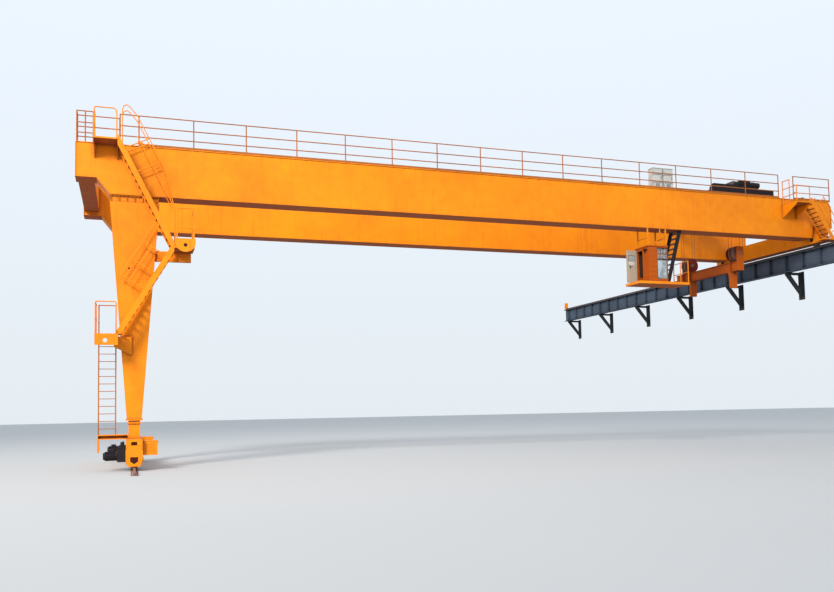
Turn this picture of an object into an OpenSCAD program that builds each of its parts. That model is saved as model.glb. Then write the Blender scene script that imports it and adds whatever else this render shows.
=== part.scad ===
// Semi-gantry crane: two box girders on a pair of tapered legs at one end and
// on a wall runway at the other, with a top-running trolley, a lifting beam
// and a cab. Millimetres. X runs along the girders towards the wall, Y along
// the rails, Z up. The origin is the wall face of the second runway bracket.

/* [Span and height] */
// Distance from the ground rail to the wall rail
span = 33000; // [28000:100:34000]
// Height of the girder tops above the ground rail
girder_top = 12240; // [11000:10:13000]
// Height of the rail on the wall above the ground rail
wall_rail_top = 9950; // [9000:10:10200]
// Overhang of the girders past the ground rail
left_overhang = 2120; // [1800:10:2600]
// Overhang of the girders past the wall rail
right_overhang = 860; // [700:10:1100]

/* [Girders] */
// Depth of a girder
girder_h = 1940; // [1600:10:2200]
// Width of a girder over its flanges
girder_w = 890; // [700:10:1000]
// Clear gap between the two girders
girder_gap = 5600; // [5000:10:6000]
// Thickness of the flanges
flange_t = 24; // [16:1:40]
// How far the flanges stand out past the webs
flange_lip = 30; // [20:1:60]
// Height of the girder ends, which are cut up from below
end_h = 1340; // [1100:10:1500]
// Width of the tie across the left ends
tie_w = 600; // [400:10:800]

/* [Legs] */
// Width of a leg at its top, along the girder
leg_top_w = 1780; // [1400:10:2000]
// Width of a leg at its foot
leg_foot_w = 520; // [400:10:800]
// Depth of a leg at its top, along the rails
leg_top_d = 800; // [600:10:850]
// Depth of a leg at its foot
leg_foot_d = 460; // [400:10:800]
// Height where the taper of a leg ends
leg_foot_z = 1780; // [1600:10:2200]
// Width of the short column under a leg
stub_w = 400; // [340:10:440]
// Height of the saddle between leg and girder
saddle_h = 300; // [240:10:400]

/* [Travel gear] */
// Width of the end carriages
carriage_w = 580; // [500:10:700]
// Length of the end carriages
carriage_l = 8000; // [7600:100:8600]
// Height of the top of the ground carriage
carriage_top = 1050; // [900:10:1200]
// Radius of the travel wheels
wheel_r = 300; // [240:5:340]
// Distance from each carriage end to its wheel
wheel_inset = 520; // [450:10:700]

/* [Rails and runway] */
// Distance between wall brackets
bay = 4800; // [4000:100:5400]
// Number of bays of runway
bays = 6; // [3:1:6]
// Depth of the runway beam
runway_h = 900; // [700:10:1100]
// Width of the runway beam flanges
runway_w = 400; // [300:10:500]
// Distance from the wall rail to the wall
wall_gap = 900; // [880:10:1200]
// Height of a crane rail
rail_h = 130; // [100:5:150]
// Width of a rail head
rail_head = 70; // [60:2:100]

/* [Trolley] */
// Distance from the middle of the trolley to the wall rail
trolley_x = 4050; // [3500:50:9000]
// Length of the trolley
trolley_l = 3700; // [3200:50:4200]
// Radius of the trolley wheels
trolley_wheel_r = 200; // [160:5:240]
// Radius on which the ropes wind
rope_pitch_r = 350; // [300:5:380]
// Radius of a rope
rope_r = 9; // [6:0.5:14]
// Height of the lifting beam underside
beam_z = 8700; // [8400:10:8900]
// Depth of the lifting beam
beam_h = 500; // [420:10:600]

/* [Cab] */
// Left side of the cab, measured from the ground rail
cab_x = 22750; // [20000:50:23500]
// Length of the cab along the girder
cab_l = 1050; // [1000:10:1300]
// Width of the cab along the rails
cab_w = 1050; // [950:10:1100]
// Floor height of the cab
cab_floor = 7760; // [7500:10:8000]
// Height of the cab
cab_h = 1700; // [1650:10:1900]

/* [Access] */
// Height of a handrail above its floor
rail_up = 1180; // [1050:10:1250]
// Diameter of handrail tubes
tube_d = 42; // [34:1:50]
// Spacing of the handrail posts on the girders
post_step = 2030; // [1500:10:2400]
// Width of the stairs
stair_w = 650; // [550:10:750]
// Offset of the stair handrails, square to the flight
hand_up = 1040; // [900:10:1150]
// Distance from the legs' middle to the foot of the lower flight
lower_x = 600; // [560:10:700]
// Distance from the legs' middle to the landing
turn_x = 1400; // [1300:10:1500]
// Length of the landing
landing_l = 740; // [700:10:900]
// Floor height of the small platform beside the leg
leg_platform_z = 4930; // [4600:10:5200]
// Floor height of the landing between the two flights
landing_z = 8260; // [7900:10:8500]

/* [Colours] */
// Crane paint
paint = [0.94, 0.55, 0.14];
// Steel of rails and wheels
steel = [0.42, 0.40, 0.38];
// Runway beam paint
runway_paint = [0.48, 0.54, 0.60];
// Motors and machinery
machine = [0.13, 0.12, 0.14];
// Beige doors
beige = [0.76, 0.68, 0.56];
// Glazing
glass = [0.60, 0.70, 0.74];

/* [Hidden] */
$fn = 24;
clear = 0.3;
girder_z = girder_top - girder_h;
end_z = girder_top - end_h;
far_y = girder_w + girder_gap;
width_y = far_y + girder_w;
mid_y = width_y / 2;
left_x = -left_overhang;
right_x = span + right_overhang;
left_cut = -(leg_top_w / 2);
right_cut = span - carriage_w / 2 - 160;
leg_top_z = girder_z - saddle_h;
carriage_y0 = mid_y - carriage_l / 2;
carriage_y1 = mid_y + carriage_l / 2;
wheel_ys = [carriage_y0 + wheel_inset, carriage_y1 - wheel_inset];
wheel_w = rail_head + 60;
axle_r = 55;
pocket_w = wheel_w + 30;
wall_x = span + wall_gap;
bracket_y0 = -2500;
beam_top = wall_rail_top - rail_h;
beam_bottom = beam_top - runway_h;
track_y0 = bracket_y0 - 600;
track_y1 = bracket_y0 + bays * bay + 600;
plate_h = 1500;
plate_w = 420;
plate_t = 30;
plate_z = beam_bottom + 60 - plate_h / 2;
hole_r = 17;
hole_dy = 280;
hole_dz = 1300;
trail_h = 100;
trail_y = girder_w - 110;
trolley_rail_ys = [trail_y, width_y - trail_y];
trolley_rail_top = girder_top + trail_h;
trolley_mid = span - trolley_x;
axle_z = trolley_rail_top + trolley_wheel_r;
sill_top = trolley_rail_top + 2 * trolley_wheel_r + 60;
drum_z = sill_top + 190;
drum_r = rope_pitch_r - rope_r - clear;
rope_x = rope_pitch_r;
journal_r = 70;
sheave_z = beam_z + beam_h + rope_pitch_r + 45;
block_ys = [girder_w + 530, width_y - girder_w - 1160];
block_half = 320;
rope_ys = [for (b = block_ys) for (d = [-110, 110]) b + d];
trail_x0 = 300;
trail_x1 = span - 300;
step_z = 1230;
stair_y = -stair_w - 120;
stringer_t = 14;
stringer_h = 200;
hand_d = 36;
plat_x0 = span - 2260;
plat_x1 = span - 1400;
plat_z = girder_top - 360;
wall_stair_w = 560;
wall_stair_gap = 140;
plat_y = carriage_y0 - wall_stair_gap - wall_stair_w;
near_c = girder_w / 2;
far_c = far_y + girder_w / 2;
cab_y = -40;

// Which sub-part to build, or all of them

// Moves everything so that the origin lies on the wall face of a bracket.
module placed() {
    translate([-wall_x, -(bracket_y0 + bay), -plate_z]) children();
}

// A box between two corners.
module block(a, b) {
    translate(a) cube([b[0] - a[0], b[1] - a[1], b[2] - a[2]]);
}

// A round bar between two points.
module bar(a, b, d) {
    v = b - a;
    h = norm(v);
    translate(a)
        rotate([0, acos(v[2] / h), atan2(v[1], v[0])])
            cylinder(d = d, h = h);
}

// A profile drawn in X and Z, given a width along Y.
module wall_xz(y0, y1) {
    translate([0, y1, 0]) rotate([90, 0, 0]) linear_extrude(y1 - y0) children();
}

// A profile drawn in Y and Z, given a length along X.
module wall_yz(x0, x1) {
    translate([x0, 0, 0]) rotate([90, 0, 90]) linear_extrude(x1 - x0) children();
}

// Rails and runway.

// Flat-bottomed rail section, its foot at z = 0.
module rail_section(h, head) {
    foot = head * 1.7;
    web = head * 0.28;
    polygon([[-foot / 2, 0], [foot / 2, 0], [foot / 2, h * 0.09], [web / 2, h * 0.2],
             [web / 2, h * 0.7], [head / 2, h * 0.76], [head / 2, h], [-head / 2, h],
             [-head / 2, h * 0.76], [-web / 2, h * 0.7], [-web / 2, h * 0.2],
             [-foot / 2, h * 0.09]]);
}

module ground_rail() {
    color(steel) placed()
        translate([0, 0, -rail_h]) wall_xz(track_y0, track_y1) rail_section(rail_h, rail_head);
}

module runway_rail() {
    color(steel) placed()
        translate([span, 0, beam_top]) wall_xz(track_y0, track_y1)
            rail_section(rail_h, rail_head);
}

module runway_beam() {
    web_t = 20;
    stiff = (runway_w - web_t) / 2 - 20;
    pitch = bay / 4;
    color(runway_paint) placed() {
        block([span - runway_w / 2, track_y0, beam_top - flange_t],
              [span + runway_w / 2, track_y1, beam_top]);
        block([span - runway_w / 2, track_y0, beam_bottom],
              [span + runway_w / 2, track_y1, beam_bottom + flange_t]);
        block([span - web_t / 2, track_y0, beam_bottom],
              [span + web_t / 2, track_y1, beam_top]);
        for (k = [0 : bays * 4])
            block([span - web_t / 2 - stiff, bracket_y0 + k * pitch - 6, beam_bottom + 10],
                  [span + web_t / 2 + stiff, bracket_y0 + k * pitch + 6, beam_top - 10]);
    }
}

// One wall bracket: arm under the beam, raking strut and bolted wall plate.
module bracket() {
    arm_h = 120;
    arm_w = 160;
    arm_x0 = span - runway_w * 0.35;
    strut_d = 190;
    back_x = wall_x - plate_t / 2;
    foot_z = plate_z - plate_h / 2 + 140;
    block([arm_x0, -arm_w / 2, beam_bottom - arm_h], [back_x, arm_w / 2, beam_bottom]);
    wall_xz(-arm_w / 2, arm_w / 2)
        polygon([[arm_x0, beam_bottom - arm_h / 2], [arm_x0 + strut_d, beam_bottom - arm_h / 2],
                 [back_x, foot_z + strut_d * 1.3], [back_x, foot_z],
                 [arm_x0, beam_bottom - arm_h]]);
    difference() {
        block([wall_x - plate_t, -plate_w / 2, plate_z - plate_h / 2],
              [wall_x, plate_w / 2, plate_z + plate_h / 2]);
        for (y = [-1, 1]) for (z = [-1, 1])
            translate([wall_x - plate_t - 1, y * hole_dy / 2, plate_z + z * hole_dz / 2])
                rotate([0, 90, 0]) cylinder(r = hole_r, h = plate_t + 2);
    }
}

module runway_brackets() {
    color(machine) placed()
        for (k = [0 : bays]) translate([0, bracket_y0 + k * bay, 0]) bracket();
}

// Buffer stops bolted on the runway rail at both ends.
module runway_stops() {
    stop_l = 160;
    slot_w = rail_head * 1.7 + 4;
    color(paint) placed()
        for (y = [track_y0 + 20, track_y1 - 20 - stop_l])
            difference() {
                block([span - 110, y, beam_top], [span + 110, y + stop_l, beam_top + rail_h * 4.3]);
                block([span - slot_w / 2, y - 1, beam_top - 1],
                      [span + slot_w / 2, y + stop_l + 1, beam_top + rail_h + 2]);
            }
}

// Girders.

// Side outline of a girder, cut up at both ends.
module girder_outline() {
    slope = girder_z < end_z ? 480 : 0;
    polygon([[left_x, end_z], [left_cut - slope, end_z], [left_cut, girder_z],
             [right_cut, girder_z], [right_cut + 120, end_z], [right_x, end_z],
             [right_x, girder_top - 260], [right_x - 180, girder_top], [left_x, girder_top]]);
}

// Box girder with its web faces set in from the flanges.
module girder(y0) {
    difference() {
        wall_xz(y0, y0 + girder_w) girder_outline();
        for (side = [-1, 1])
            translate([0, side > 0 ? y0 + girder_w - flange_lip : y0 - 1, 0])
                wall_xz(0, flange_lip + 1)
                    offset(delta = -flange_t) girder_outline();
    }
}

module near_girder() {
    color(paint) placed() girder(0);
}

module far_girder() {
    color(paint) placed() girder(far_y);
}

module left_end_tie() {
    tie_z = end_z + 180;
    color(paint) placed()
        block([left_x + 40, girder_w - flange_lip, tie_z],
              [left_x + 40 + tie_w, far_y + flange_lip, girder_top - 60]);
}

module trolley_rails() {
    color(steel) placed()
        for (y = trolley_rail_ys)
            translate([0, y, girder_top]) rotate([0, 0, -90])
                wall_xz(trail_x0, trail_x1) rail_section(trail_h, 60);
}

// Stops that end the trolley rails.
module trolley_stops() {
    stop_l = 120;
    color(paint) placed()
        for (y = trolley_rail_ys) for (x = [trail_x0 - stop_l, trail_x1])
            block([x, y - 70, girder_top], [x + stop_l, y + 70, trolley_rail_top + 260]);
}

// Legs and carriages.

// Tapered box leg, made as the overlap of its front and side outlines.
module leg_taper(yc) {
    intersection() {
        wall_xz(yc - leg_top_d, yc + leg_top_d)
            polygon([[-leg_foot_w / 2, leg_foot_z], [leg_foot_w / 2, leg_foot_z],
                     [leg_top_w / 2, leg_top_z], [-leg_top_w / 2, leg_top_z]]);
        wall_yz(-leg_top_w, leg_top_w)
            polygon([[yc - leg_foot_d / 2, leg_foot_z], [yc + leg_foot_d / 2, leg_foot_z],
                     [yc + leg_top_d / 2, leg_top_z], [yc - leg_top_d / 2, leg_top_z]]);
    }
}

// The leg with its foot flanges and the short column on the carriage.
module leg(yc) {
    foot_x = leg_foot_w / 2 + 50;
    foot_y = leg_foot_d / 2 + 60;
    leg_taper(yc);
    block([-foot_x, yc - foot_y, leg_foot_z - 40], [foot_x, yc + foot_y, leg_foot_z]);
    block([-stub_w / 2, yc - leg_foot_d / 2, carriage_top], [stub_w / 2, yc + leg_foot_d / 2, leg_foot_z]);
    block([-stub_w / 2 - 50, yc - foot_y, leg_foot_z - 150],
          [stub_w / 2 + 50, yc + foot_y, leg_foot_z - 110]);
}

module near_leg() {
    color(paint) placed() leg(near_c);
}

module far_leg() {
    color(paint) placed() leg(far_c);
}

// Saddle boxes with upright gussets between the legs and the girders.
module leg_saddles() {
    plate = 36;
    color(paint) placed()
        for (yc = [near_c, far_c]) {
            block([-leg_top_w / 2, yc - 400, leg_top_z], [leg_top_w / 2, yc + 400, leg_top_z + plate]);
            block([-leg_top_w / 2, yc - 400, girder_z - plate], [leg_top_w / 2, yc + 400, girder_z]);
            block([-leg_top_w / 2 + 60, yc - 340, leg_top_z], [leg_top_w / 2 - 60, yc + 340, girder_z]);
            for (k = [0 : 6])
                block([-leg_top_w / 2 + 30 + k * (leg_top_w - 80) / 6, yc - 390, leg_top_z],
                      [-leg_top_w / 2 + 50 + k * (leg_top_w - 80) / 6, yc + 390, girder_z]);
        }
}

// End carriage: a box open below at both ends, where the wheels sit.
module carriage(xc, z0, z1, axle_z) {
    pocket_l = 2 * wheel_r + 160;
    difference() {
        block([xc - carriage_w / 2, carriage_y0, z0], [xc + carriage_w / 2, carriage_y1, z1]);
        for (y = wheel_ys) {
            block([xc - pocket_w / 2, y - pocket_l / 2, z0 - 1],
                  [xc + pocket_w / 2, y + pocket_l / 2, axle_z + wheel_r + 60]);
            translate([xc - carriage_w, y, axle_z]) rotate([0, 90, 0])
                cylinder(r = axle_r + clear, h = 2 * carriage_w);
        }
    }
}

module ground_carriage() {
    z0 = 120;
    half = carriage_w / 2 + 10;
    face_t = 30;
    waist_z = [290, 620];
    face_top = 820;
    color(paint) placed() {
        difference() {
            carriage(0, z0, carriage_top, wheel_r);
            block([-carriage_w, carriage_y0 + 1800, z0 - 1], [carriage_w, carriage_y1 - 1800, z0 + 260]);
            for (y = [carriage_y0 - 1, carriage_y1 - 199])
                block([-105, y, face_top - 20], [105, y + 200, face_top + 130]);
        }
        // eight-sided end faces with a pointed opening
        for (s = [-1, 1])
            translate([0, mid_y + s * (carriage_l / 2 + face_t / 2 - 2), 0])
                difference() {
                    wall_xz(-face_t / 2, face_t / 2)
                        polygon([[-half + 90, 40], [half - 90, 40], [half, waist_z[0]],
                                 [half, waist_z[1]], [half - 100, face_top],
                                 [-half + 100, face_top], [-half, waist_z[1]], [-half, waist_z[0]]]);
                    wall_xz(-face_t, face_t)
                        polygon([[-140, waist_z[0] + 100], [-140, waist_z[0] - 60], [0, 130],
                                 [140, waist_z[0] - 60], [140, waist_z[0] + 100]]);
                }
    }
}

module wall_carriage() {
    z0 = wall_rail_top + 110;
    axle = wall_rail_top + wheel_r;
    color(paint) placed() {
        carriage(span, z0, end_z, axle);
        for (s = [-1, 1])
            bar([span, mid_y + s * (carriage_l / 2), axle + 60],
                [span, mid_y + s * (carriage_l / 2 + 150), axle + 60], 170);
    }
}

// A travel wheel: two flanges, a tread and its axle, lying along X.
module travel_wheel(xc, y, z) {
    flange = 25;
    translate([xc, y, z]) rotate([0, 90, 0]) {
        translate([0, 0, -rail_head / 2 - 6]) cylinder(r = wheel_r - clear, h = rail_head + 12, $fn = 64);
        for (s = [-1, 1])
            translate([0, 0, s > 0 ? rail_head / 2 + 5 : -rail_head / 2 - 5 - flange])
                cylinder(r = wheel_r + 22, h = flange, $fn = 64);
        translate([0, 0, -carriage_w / 2 + 20]) cylinder(r = axle_r, h = carriage_w - 40);
    }
}

module ground_wheel_near() {
    color(steel) placed() travel_wheel(0, wheel_ys[0], wheel_r);
}

module ground_wheel_far() {
    color(steel) placed() travel_wheel(0, wheel_ys[1], wheel_r);
}

module wall_wheel_near() {
    color(steel) placed() travel_wheel(span, wheel_ys[0], wall_rail_top + wheel_r);
}

module wall_wheel_far() {
    color(steel) placed() travel_wheel(span, wheel_ys[1], wall_rail_top + wheel_r);
}

// Motor and gear case beside each ground wheel.
module travel_motors() {
    x1 = -carriage_w / 2;
    color(machine) placed()
        for (y = wheel_ys) {
            block([x1 - 300, y - 210, 210], [x1, y + 210, 640]);
            block([x1 - 260, y - 90, 640], [x1 - 90, y + 90, 760]);
            bar([x1 - 760, y, 430], [x1 - 290, y, 430], 300);
            bar([x1 - 800, y, 430], [x1 - 750, y, 430], 240);
            block([x1 - 640, y - 90, 560], [x1 - 440, y + 90, 650]);
        }
}

// Painted covers on the other side of the ground carriage.
module motor_covers() {
    x0 = carriage_w / 2;
    color(paint) placed()
        for (y = wheel_ys)
            block([x0, y - 260, 440], [x0 + 550, y + 260, 970]);
}

// Railings.

// Straight girder railing: posts and rails.
module girder_railing(y, x0, x1) {
    n = max(1, round((x1 - x0) / post_step));
    for (k = [0 : n])
        bar([x0 + k * (x1 - x0) / n, y, girder_top],
            [x0 + k * (x1 - x0) / n, y, girder_top + rail_up + 6], tube_d + 4);
    for (f = [0.3, 0.63, 1])
        bar([x0 - 20, y, girder_top + rail_up * f], [x1 + 20, y, girder_top + rail_up * f], tube_d);
    block([x0, y - 5, girder_top], [x1, y + 5, girder_top + 100]);
}

module near_girder_railing() {
    color(paint) placed() {
        girder_railing(tube_d, 140, plat_x0 - 160);
        girder_railing(tube_d, plat_x1 - 80, right_x - 40);
        // rails carried on behind the head of the stair
        for (f = [0.3, 0.63, 1])
            bar([-560, tube_d, girder_top + rail_up * f], [150, tube_d, girder_top + rail_up * f], tube_d);
        bar([-540, tube_d, girder_top], [-540, tube_d, girder_top + rail_up + 6], tube_d + 4);
    }
}

module far_girder_railing() {
    color(paint) placed() girder_railing(width_y - tube_d, left_x + 60, right_x - 40);
}

// Box of rails round the left end of the near girder.
module left_end_railing() {
    x0 = left_x + 50;
    x1 = -1490;
    y0 = tube_d;
    y1 = 560;
    color(paint) placed() {
        for (p = [[x0, y0], [x0 + 300, y0], [x1, y0], [x0, y1], [x1 - 20, y1], [-560, y1]])
            bar([p[0], p[1], girder_top], [p[0], p[1], girder_top + rail_up + 6], tube_d + 4);
        for (f = [0.3, 0.63, 1]) {
            z = girder_top + rail_up * f;
            bar([x0 - 20, y0, z], [x1 + 20, y0, z], tube_d);
            bar([x0, y0 - 20, z], [x0, y1 + 20, z], tube_d - 4);
            bar([x0 - 20, y1, z], [-540, y1, z], tube_d);
        }
    }
}

// Railing of posts and two rails along a list of points on one floor.
module guard(points, h) {
    for (p = points) bar([p[0], p[1], p[2]], [p[0], p[1], p[2] + h + 6], tube_d + 4);
    for (k = [0 : len(points) - 2])
        for (f = [0.5, 1])
            bar(points[k] + [0, 0, h * f], points[k + 1] + [0, 0, h * f], tube_d - 4 * (k % 2));
}

// Bent tube through a list of points.
module bent(points, d) {
    for (k = [0 : len(points) - 2]) bar(points[k], points[k + 1], d);
    for (k = [1 : len(points) - 2]) translate(points[k]) sphere(d = d + 6);
}

// Stairs and platforms at the legs.

// A flight between a low and a high point, with stringers and treads.
module flight(x0, z0, x1, z1, y0, w, treads) {
    dx = x1 - x0;
    dz = z1 - z0;
    a = atan2(dz, dx);
    for (y = [y0, y0 + w - stringer_t])
        translate([x0, y, z0]) rotate([0, -a, 0])
            translate([-stringer_h, 0, -stringer_h / 2])
                cube([norm([dx, dz]) + 2 * stringer_h, stringer_t, stringer_h]);
    for (k = [0 : treads - 1])
        translate([x0 + dx * (k + 0.5) / treads - 90, y0 + stringer_t - 2,
                   z0 + dz * (k + 0.5) / treads])
            cube([180, w - 2 * stringer_t + 4, 26]);
}

// A point beside a flight: a share t of the way up and h square to it.
function beside(a, b, t, h, y) =
    let (n = norm([b[0] - a[0], b[1] - a[1]]), s = b[0] > a[0] ? -1 : 1)
    [a[0] + (b[0] - a[0]) * t + s * (b[1] - a[1]) / n * h, y,
     a[1] + (b[1] - a[1]) * t + abs(b[0] - a[0]) / n * h];

// Handrails on both sides of a flight.
module flight_rails(a, b, y0, w, h, t0, t1, t2) {
    for (y = [y0 + stringer_t / 2, y0 + w - stringer_t / 2]) {
        bar(beside(a, b, t0, h, y), beside(a, b, t2, h, y), hand_d);
        bar(beside(a, b, t0, h * 0.66, y), beside(a, b, t1 + 0.02, h * 0.66, y), hand_d);
        for (t = [t0 + 0.02, (t0 + t1) / 2, t1])
            bar(beside(a, b, t, 60, y), beside(a, b, t, h + 4, y), hand_d + 4);
    }
}

module leg_platform() {
    z = leg_platform_z;
    x0 = -lower_x - 780;
    x1 = -lower_x + 20;
    front = stair_y - 60;
    color(paint) placed()
        difference() {
            union() {
                block([x0, front + 10, z - 60], [x1, 220, z]);
                // front plate with its hole
                difference() {
                    block([x0, front, z - 420], [x1, front + 20, z]);
                    bar([x0 + 360, front - 1, z - 250], [x0 + 360, front + 21, z - 250], 160);
                }
                // web that carries the platform from the leg
                wall_xz(60, 160)
                    polygon([[x1 - 150, z - 30], [-100, z - 30], [-100, z - 720], [x1 - 150, z - 420]]);
                bent([[x0 + 25, front + 30, z - 30], [x0 + 25, front + 30, z + rail_up - 60],
                      [x0 + 80, front + 30, z + rail_up], [x1 - 110, front + 30, z + rail_up],
                      [x1 - 60, front + 30, z + rail_up - 60], [x1 - 60, front + 30, z - 30]], tube_d);
                for (f = [0.5, 0.98])
                    bar([x0 + 25, front + 30, z + rail_up * f], [x0 + 25, 200, z + rail_up * f],
                        tube_d - 6);
                bar([x0 + 25, 180, z - 30], [x0 + 25, 180, z + rail_up + 6], tube_d);
            }
            leg_taper(near_c);
        }
}

module landing() {
    z = landing_z;
    x0 = turn_x;
    x1 = turn_x + landing_l;
    front = stair_y - 60;
    hook_r = 375;
    color(paint) placed()
        difference() {
            union() {
                block([x0, front + 10, z - 60], [x1, 320, z]);
                block([300, 200, z - 430], [x1 - 70, 320, z - 30]);
                // rounded end plate with its hole
                difference() {
                    translate([x1 - hook_r + 40, 0, z + 175]) wall_xz(front, front + 20)
                        union() {
                            intersection() {
                                circle(r = hook_r, $fn = 48);
                                translate([-hook_r, -hook_r]) square([2 * hook_r, hook_r]);
                            }
                            translate([-hook_r, -1]) square([2 * hook_r, 136]);
                        }
                    bar([x1 - hook_r + 40, front - 1, z + 60], [x1 - hook_r + 40, front + 21, z + 60], 140);
                }
                guard([[x0 + 100, front + 20, z - 30], [x1 - 21, front + 20, z - 30],
                       [x1 - 21, -330, z - 30], [x1 - 21, 250, z - 30]], 1500);
            }
            leg_taper(near_c);
        }
}

module lower_stair() {
    a = [-lower_x, leg_platform_z - 40];
    b = [turn_x - 40, landing_z - 60];
    color(paint) placed() {
        difference() {
            flight(a[0], a[1], b[0], b[1], stair_y, stair_w, 14);
            // cut level on the platform and square against the landing
            block([-2 * turn_x, stair_y - 50, a[1] - 900], [turn_x, 60, leg_platform_z]);
            block([turn_x, stair_y - 50, landing_z - 900], [2 * turn_x, 60, landing_z + 900]);
            block([0, stair_y - 50, landing_z], [2 * turn_x, 60, landing_z + 900]);
        }
        flight_rails(a, b, stair_y, stair_w, hand_up, 0.49, 0.9, 1.135);
    }
}

module upper_stair() {
    a = [turn_x - 10, landing_z - 20];
    b = [10 - lower_x, girder_top - 80];
    head_x = 145 - lower_x;
    foot_x = turn_x + 40;
    color(paint) placed() {
        difference() {
            flight(a[0], a[1], b[0], b[1], stair_y, stair_w, 16);
            block([-2 * turn_x, stair_y - 50, landing_z - 900], [2 * turn_x, 60, landing_z]);
            block([-2 * turn_x, stair_y - 50, landing_z], [-lower_x - 19, 60, girder_top + 900]);
        }
        // hooped handrails, each ending in an upright on the landing
        for (y = [stair_y + stringer_t / 2, stair_y + stair_w - stringer_t / 2]) {
            bent([[head_x, y, girder_top - 330], [head_x, y, girder_top + 1080],
                  [head_x + 45, y, girder_top + 1230], [head_x + 145, y, girder_top + 1290],
                  [head_x + 255, y, girder_top + 1230], beside(a, b, 1.13, hand_up, y),
                  beside(a, b, 0.64, hand_up, y), [turn_x - 70, y, landing_z + 1790],
                  [foot_x, y, landing_z + 1300], [foot_x, y, landing_z]], hand_d);
            bar(beside(a, b, 0.97, hand_up * 0.66, y), beside(a, b, 0.285, hand_up * 0.66, y), hand_d - 4);
            for (t = [0.92, 0.7])
                bar(beside(a, b, t, 60, y), beside(a, b, t, hand_up, y), hand_d + 4);
        }
    }
}

module leg_ladder() {
    xs = [-lower_x - 660, -lower_x - 60];
    y = 244;
    top = leg_platform_z + rail_up;
    n = floor((leg_platform_z - 100 - step_z) / 280);
    color(paint) placed() {
        for (x = xs) block([x - 22, y - 22, step_z], [x + 22, y + 22, top]);
        for (k = [1 : n])
            bar([xs[0], y, step_z - 60 + k * 280], [xs[1], y, step_z - 60 + k * 280], 26);
        block([xs[0], y - 15, top - 44], [xs[1], y + 15, top - 8]);
    }
}

module service_step() {
    x0 = -lower_x - 700;
    y0 = near_c - 235;
    y1 = near_c + 235;
    color(paint) placed() {
        difference() {
            block([x0, y0, carriage_top], [-stub_w / 2, y1, step_z]);
            block([x0 + 30, y0 - 1, carriage_top + 35], [-stub_w / 2 - 30, y0 + 150, step_z - 35]);
        }
        block([x0, y0, carriage_top - 480], [x0 + 60, y1, carriage_top + 20]);
    }
}

module left_top_platform() {
    z = girder_top;
    x0 = -lower_x - 860;
    x1 = -lower_x - 20;
    y0 = -800;
    color(paint) placed() {
        block([x0, y0, z - 60], [x1, 0, z]);
        for (x = [x0, x1 - 16])
            wall_yz(x, x + 16) polygon([[0, z - 50], [y0 + 20, z - 50], [0, z - 600]]);
        bent([[x0 + 25, y0 + 25, z - 30], [x0 + 25, y0 + 25, z + 1050], [x0 + 70, y0 + 25, z + 1110],
              [x1 - 110, y0 + 25, z + 1110], [x1 - 45, y0 + 25, z + 1030], [x1 - 30, y0 + 25, z + 900],
              [x1 - 30, y0 + 25, z - 30]], tube_d);
        for (h = [560, 1050]) bar([x0 + 25, y0 + 25, z + h], [x0 + 25, -30, z + h], tube_d - 6);
        bar([x0 + 25, -40, z - 30], [x0 + 25, -40, z + 1056], tube_d);
    }
}

module right_top_platform() {
    z = plat_z;
    x0 = plat_x0;
    x1 = plat_x1;
    y0 = plat_y;
    color(paint) placed() {
        block([x0, y0, z - 60], [x1, flange_lip, z]);
        for (x = [x0, x1 - 16])
            wall_yz(x, x + 16)
                polygon([[flange_lip, z - 50], [y0, z - 50], [y0, z - 130], [flange_lip, z - 680]]);
        for (p = [[-40, 1180], [y0 / 2, 1180], [y0 + 25, 780]])
            bar([x0 + 25, p[0], z - 30], [x0 + 25, p[0], z + p[1] + 6], tube_d + 4);
        for (h = [390, 780]) bar([x0 + 25, -20, z + h], [x0 + 25, y0 + 10, z + h], tube_d);
        bar([x0 + 25, -20, z + rail_up], [x0 + 25, y0 / 2 - 20, z + rail_up], tube_d);
        for (h = [390, 780]) bar([x0 + 20, y0 + 25, z + h], [x1 - 10, y0 + 25, z + h], tube_d - 4);
        bar([x1 - 30, y0 + 25, z - 30], [x1 - 30, y0 + 25, z + 786], tube_d + 4);
    }
}

module wall_stair() {
    a = [span - 92, wall_rail_top + 150];
    b = [plat_x1 + 105, plat_z];
    foot_z = a[1];
    edge_y = carriage_y0 - wall_stair_gap;
    color(paint) placed() {
        difference() {
            union() {
                flight(a[0], a[1], b[0], b[1], plat_y, wall_stair_w, 9);
                flight_rails(a, b, plat_y, wall_stair_w, 760, 0.12, 0.9, 0.98);
            }
            block([plat_x0, plat_y - 50, plat_z - 900], [plat_x1, edge_y + 50, plat_z + 1500]);
            block([plat_x0, plat_y - 50, foot_z - 500], [right_x + 500, edge_y + 50, foot_z]);
        }
        block([a[0] - 560, plat_y - 20, foot_z - 60], [span + 500, edge_y, foot_z + 5]);
        block([span - 250, edge_y - 1, foot_z - 60], [span + 250, carriage_y0, foot_z + 5]);
    }
}

// Cab.

cab_t = 50;
cab_x1 = cab_x + cab_l;
cab_y1 = cab_y + cab_w;
cab_roof = cab_floor + cab_h;
door_w = 560;
door_t = 40;
door_h = cab_h - 150;
door_y1 = cab_y1 - 60;
hinge_x = cab_x - 32;
hinge_y = door_y1 - 10;
pin_r = 9;
door_z0 = cab_floor + cab_t + 10;
door_z1 = door_z0 + door_h;

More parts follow.
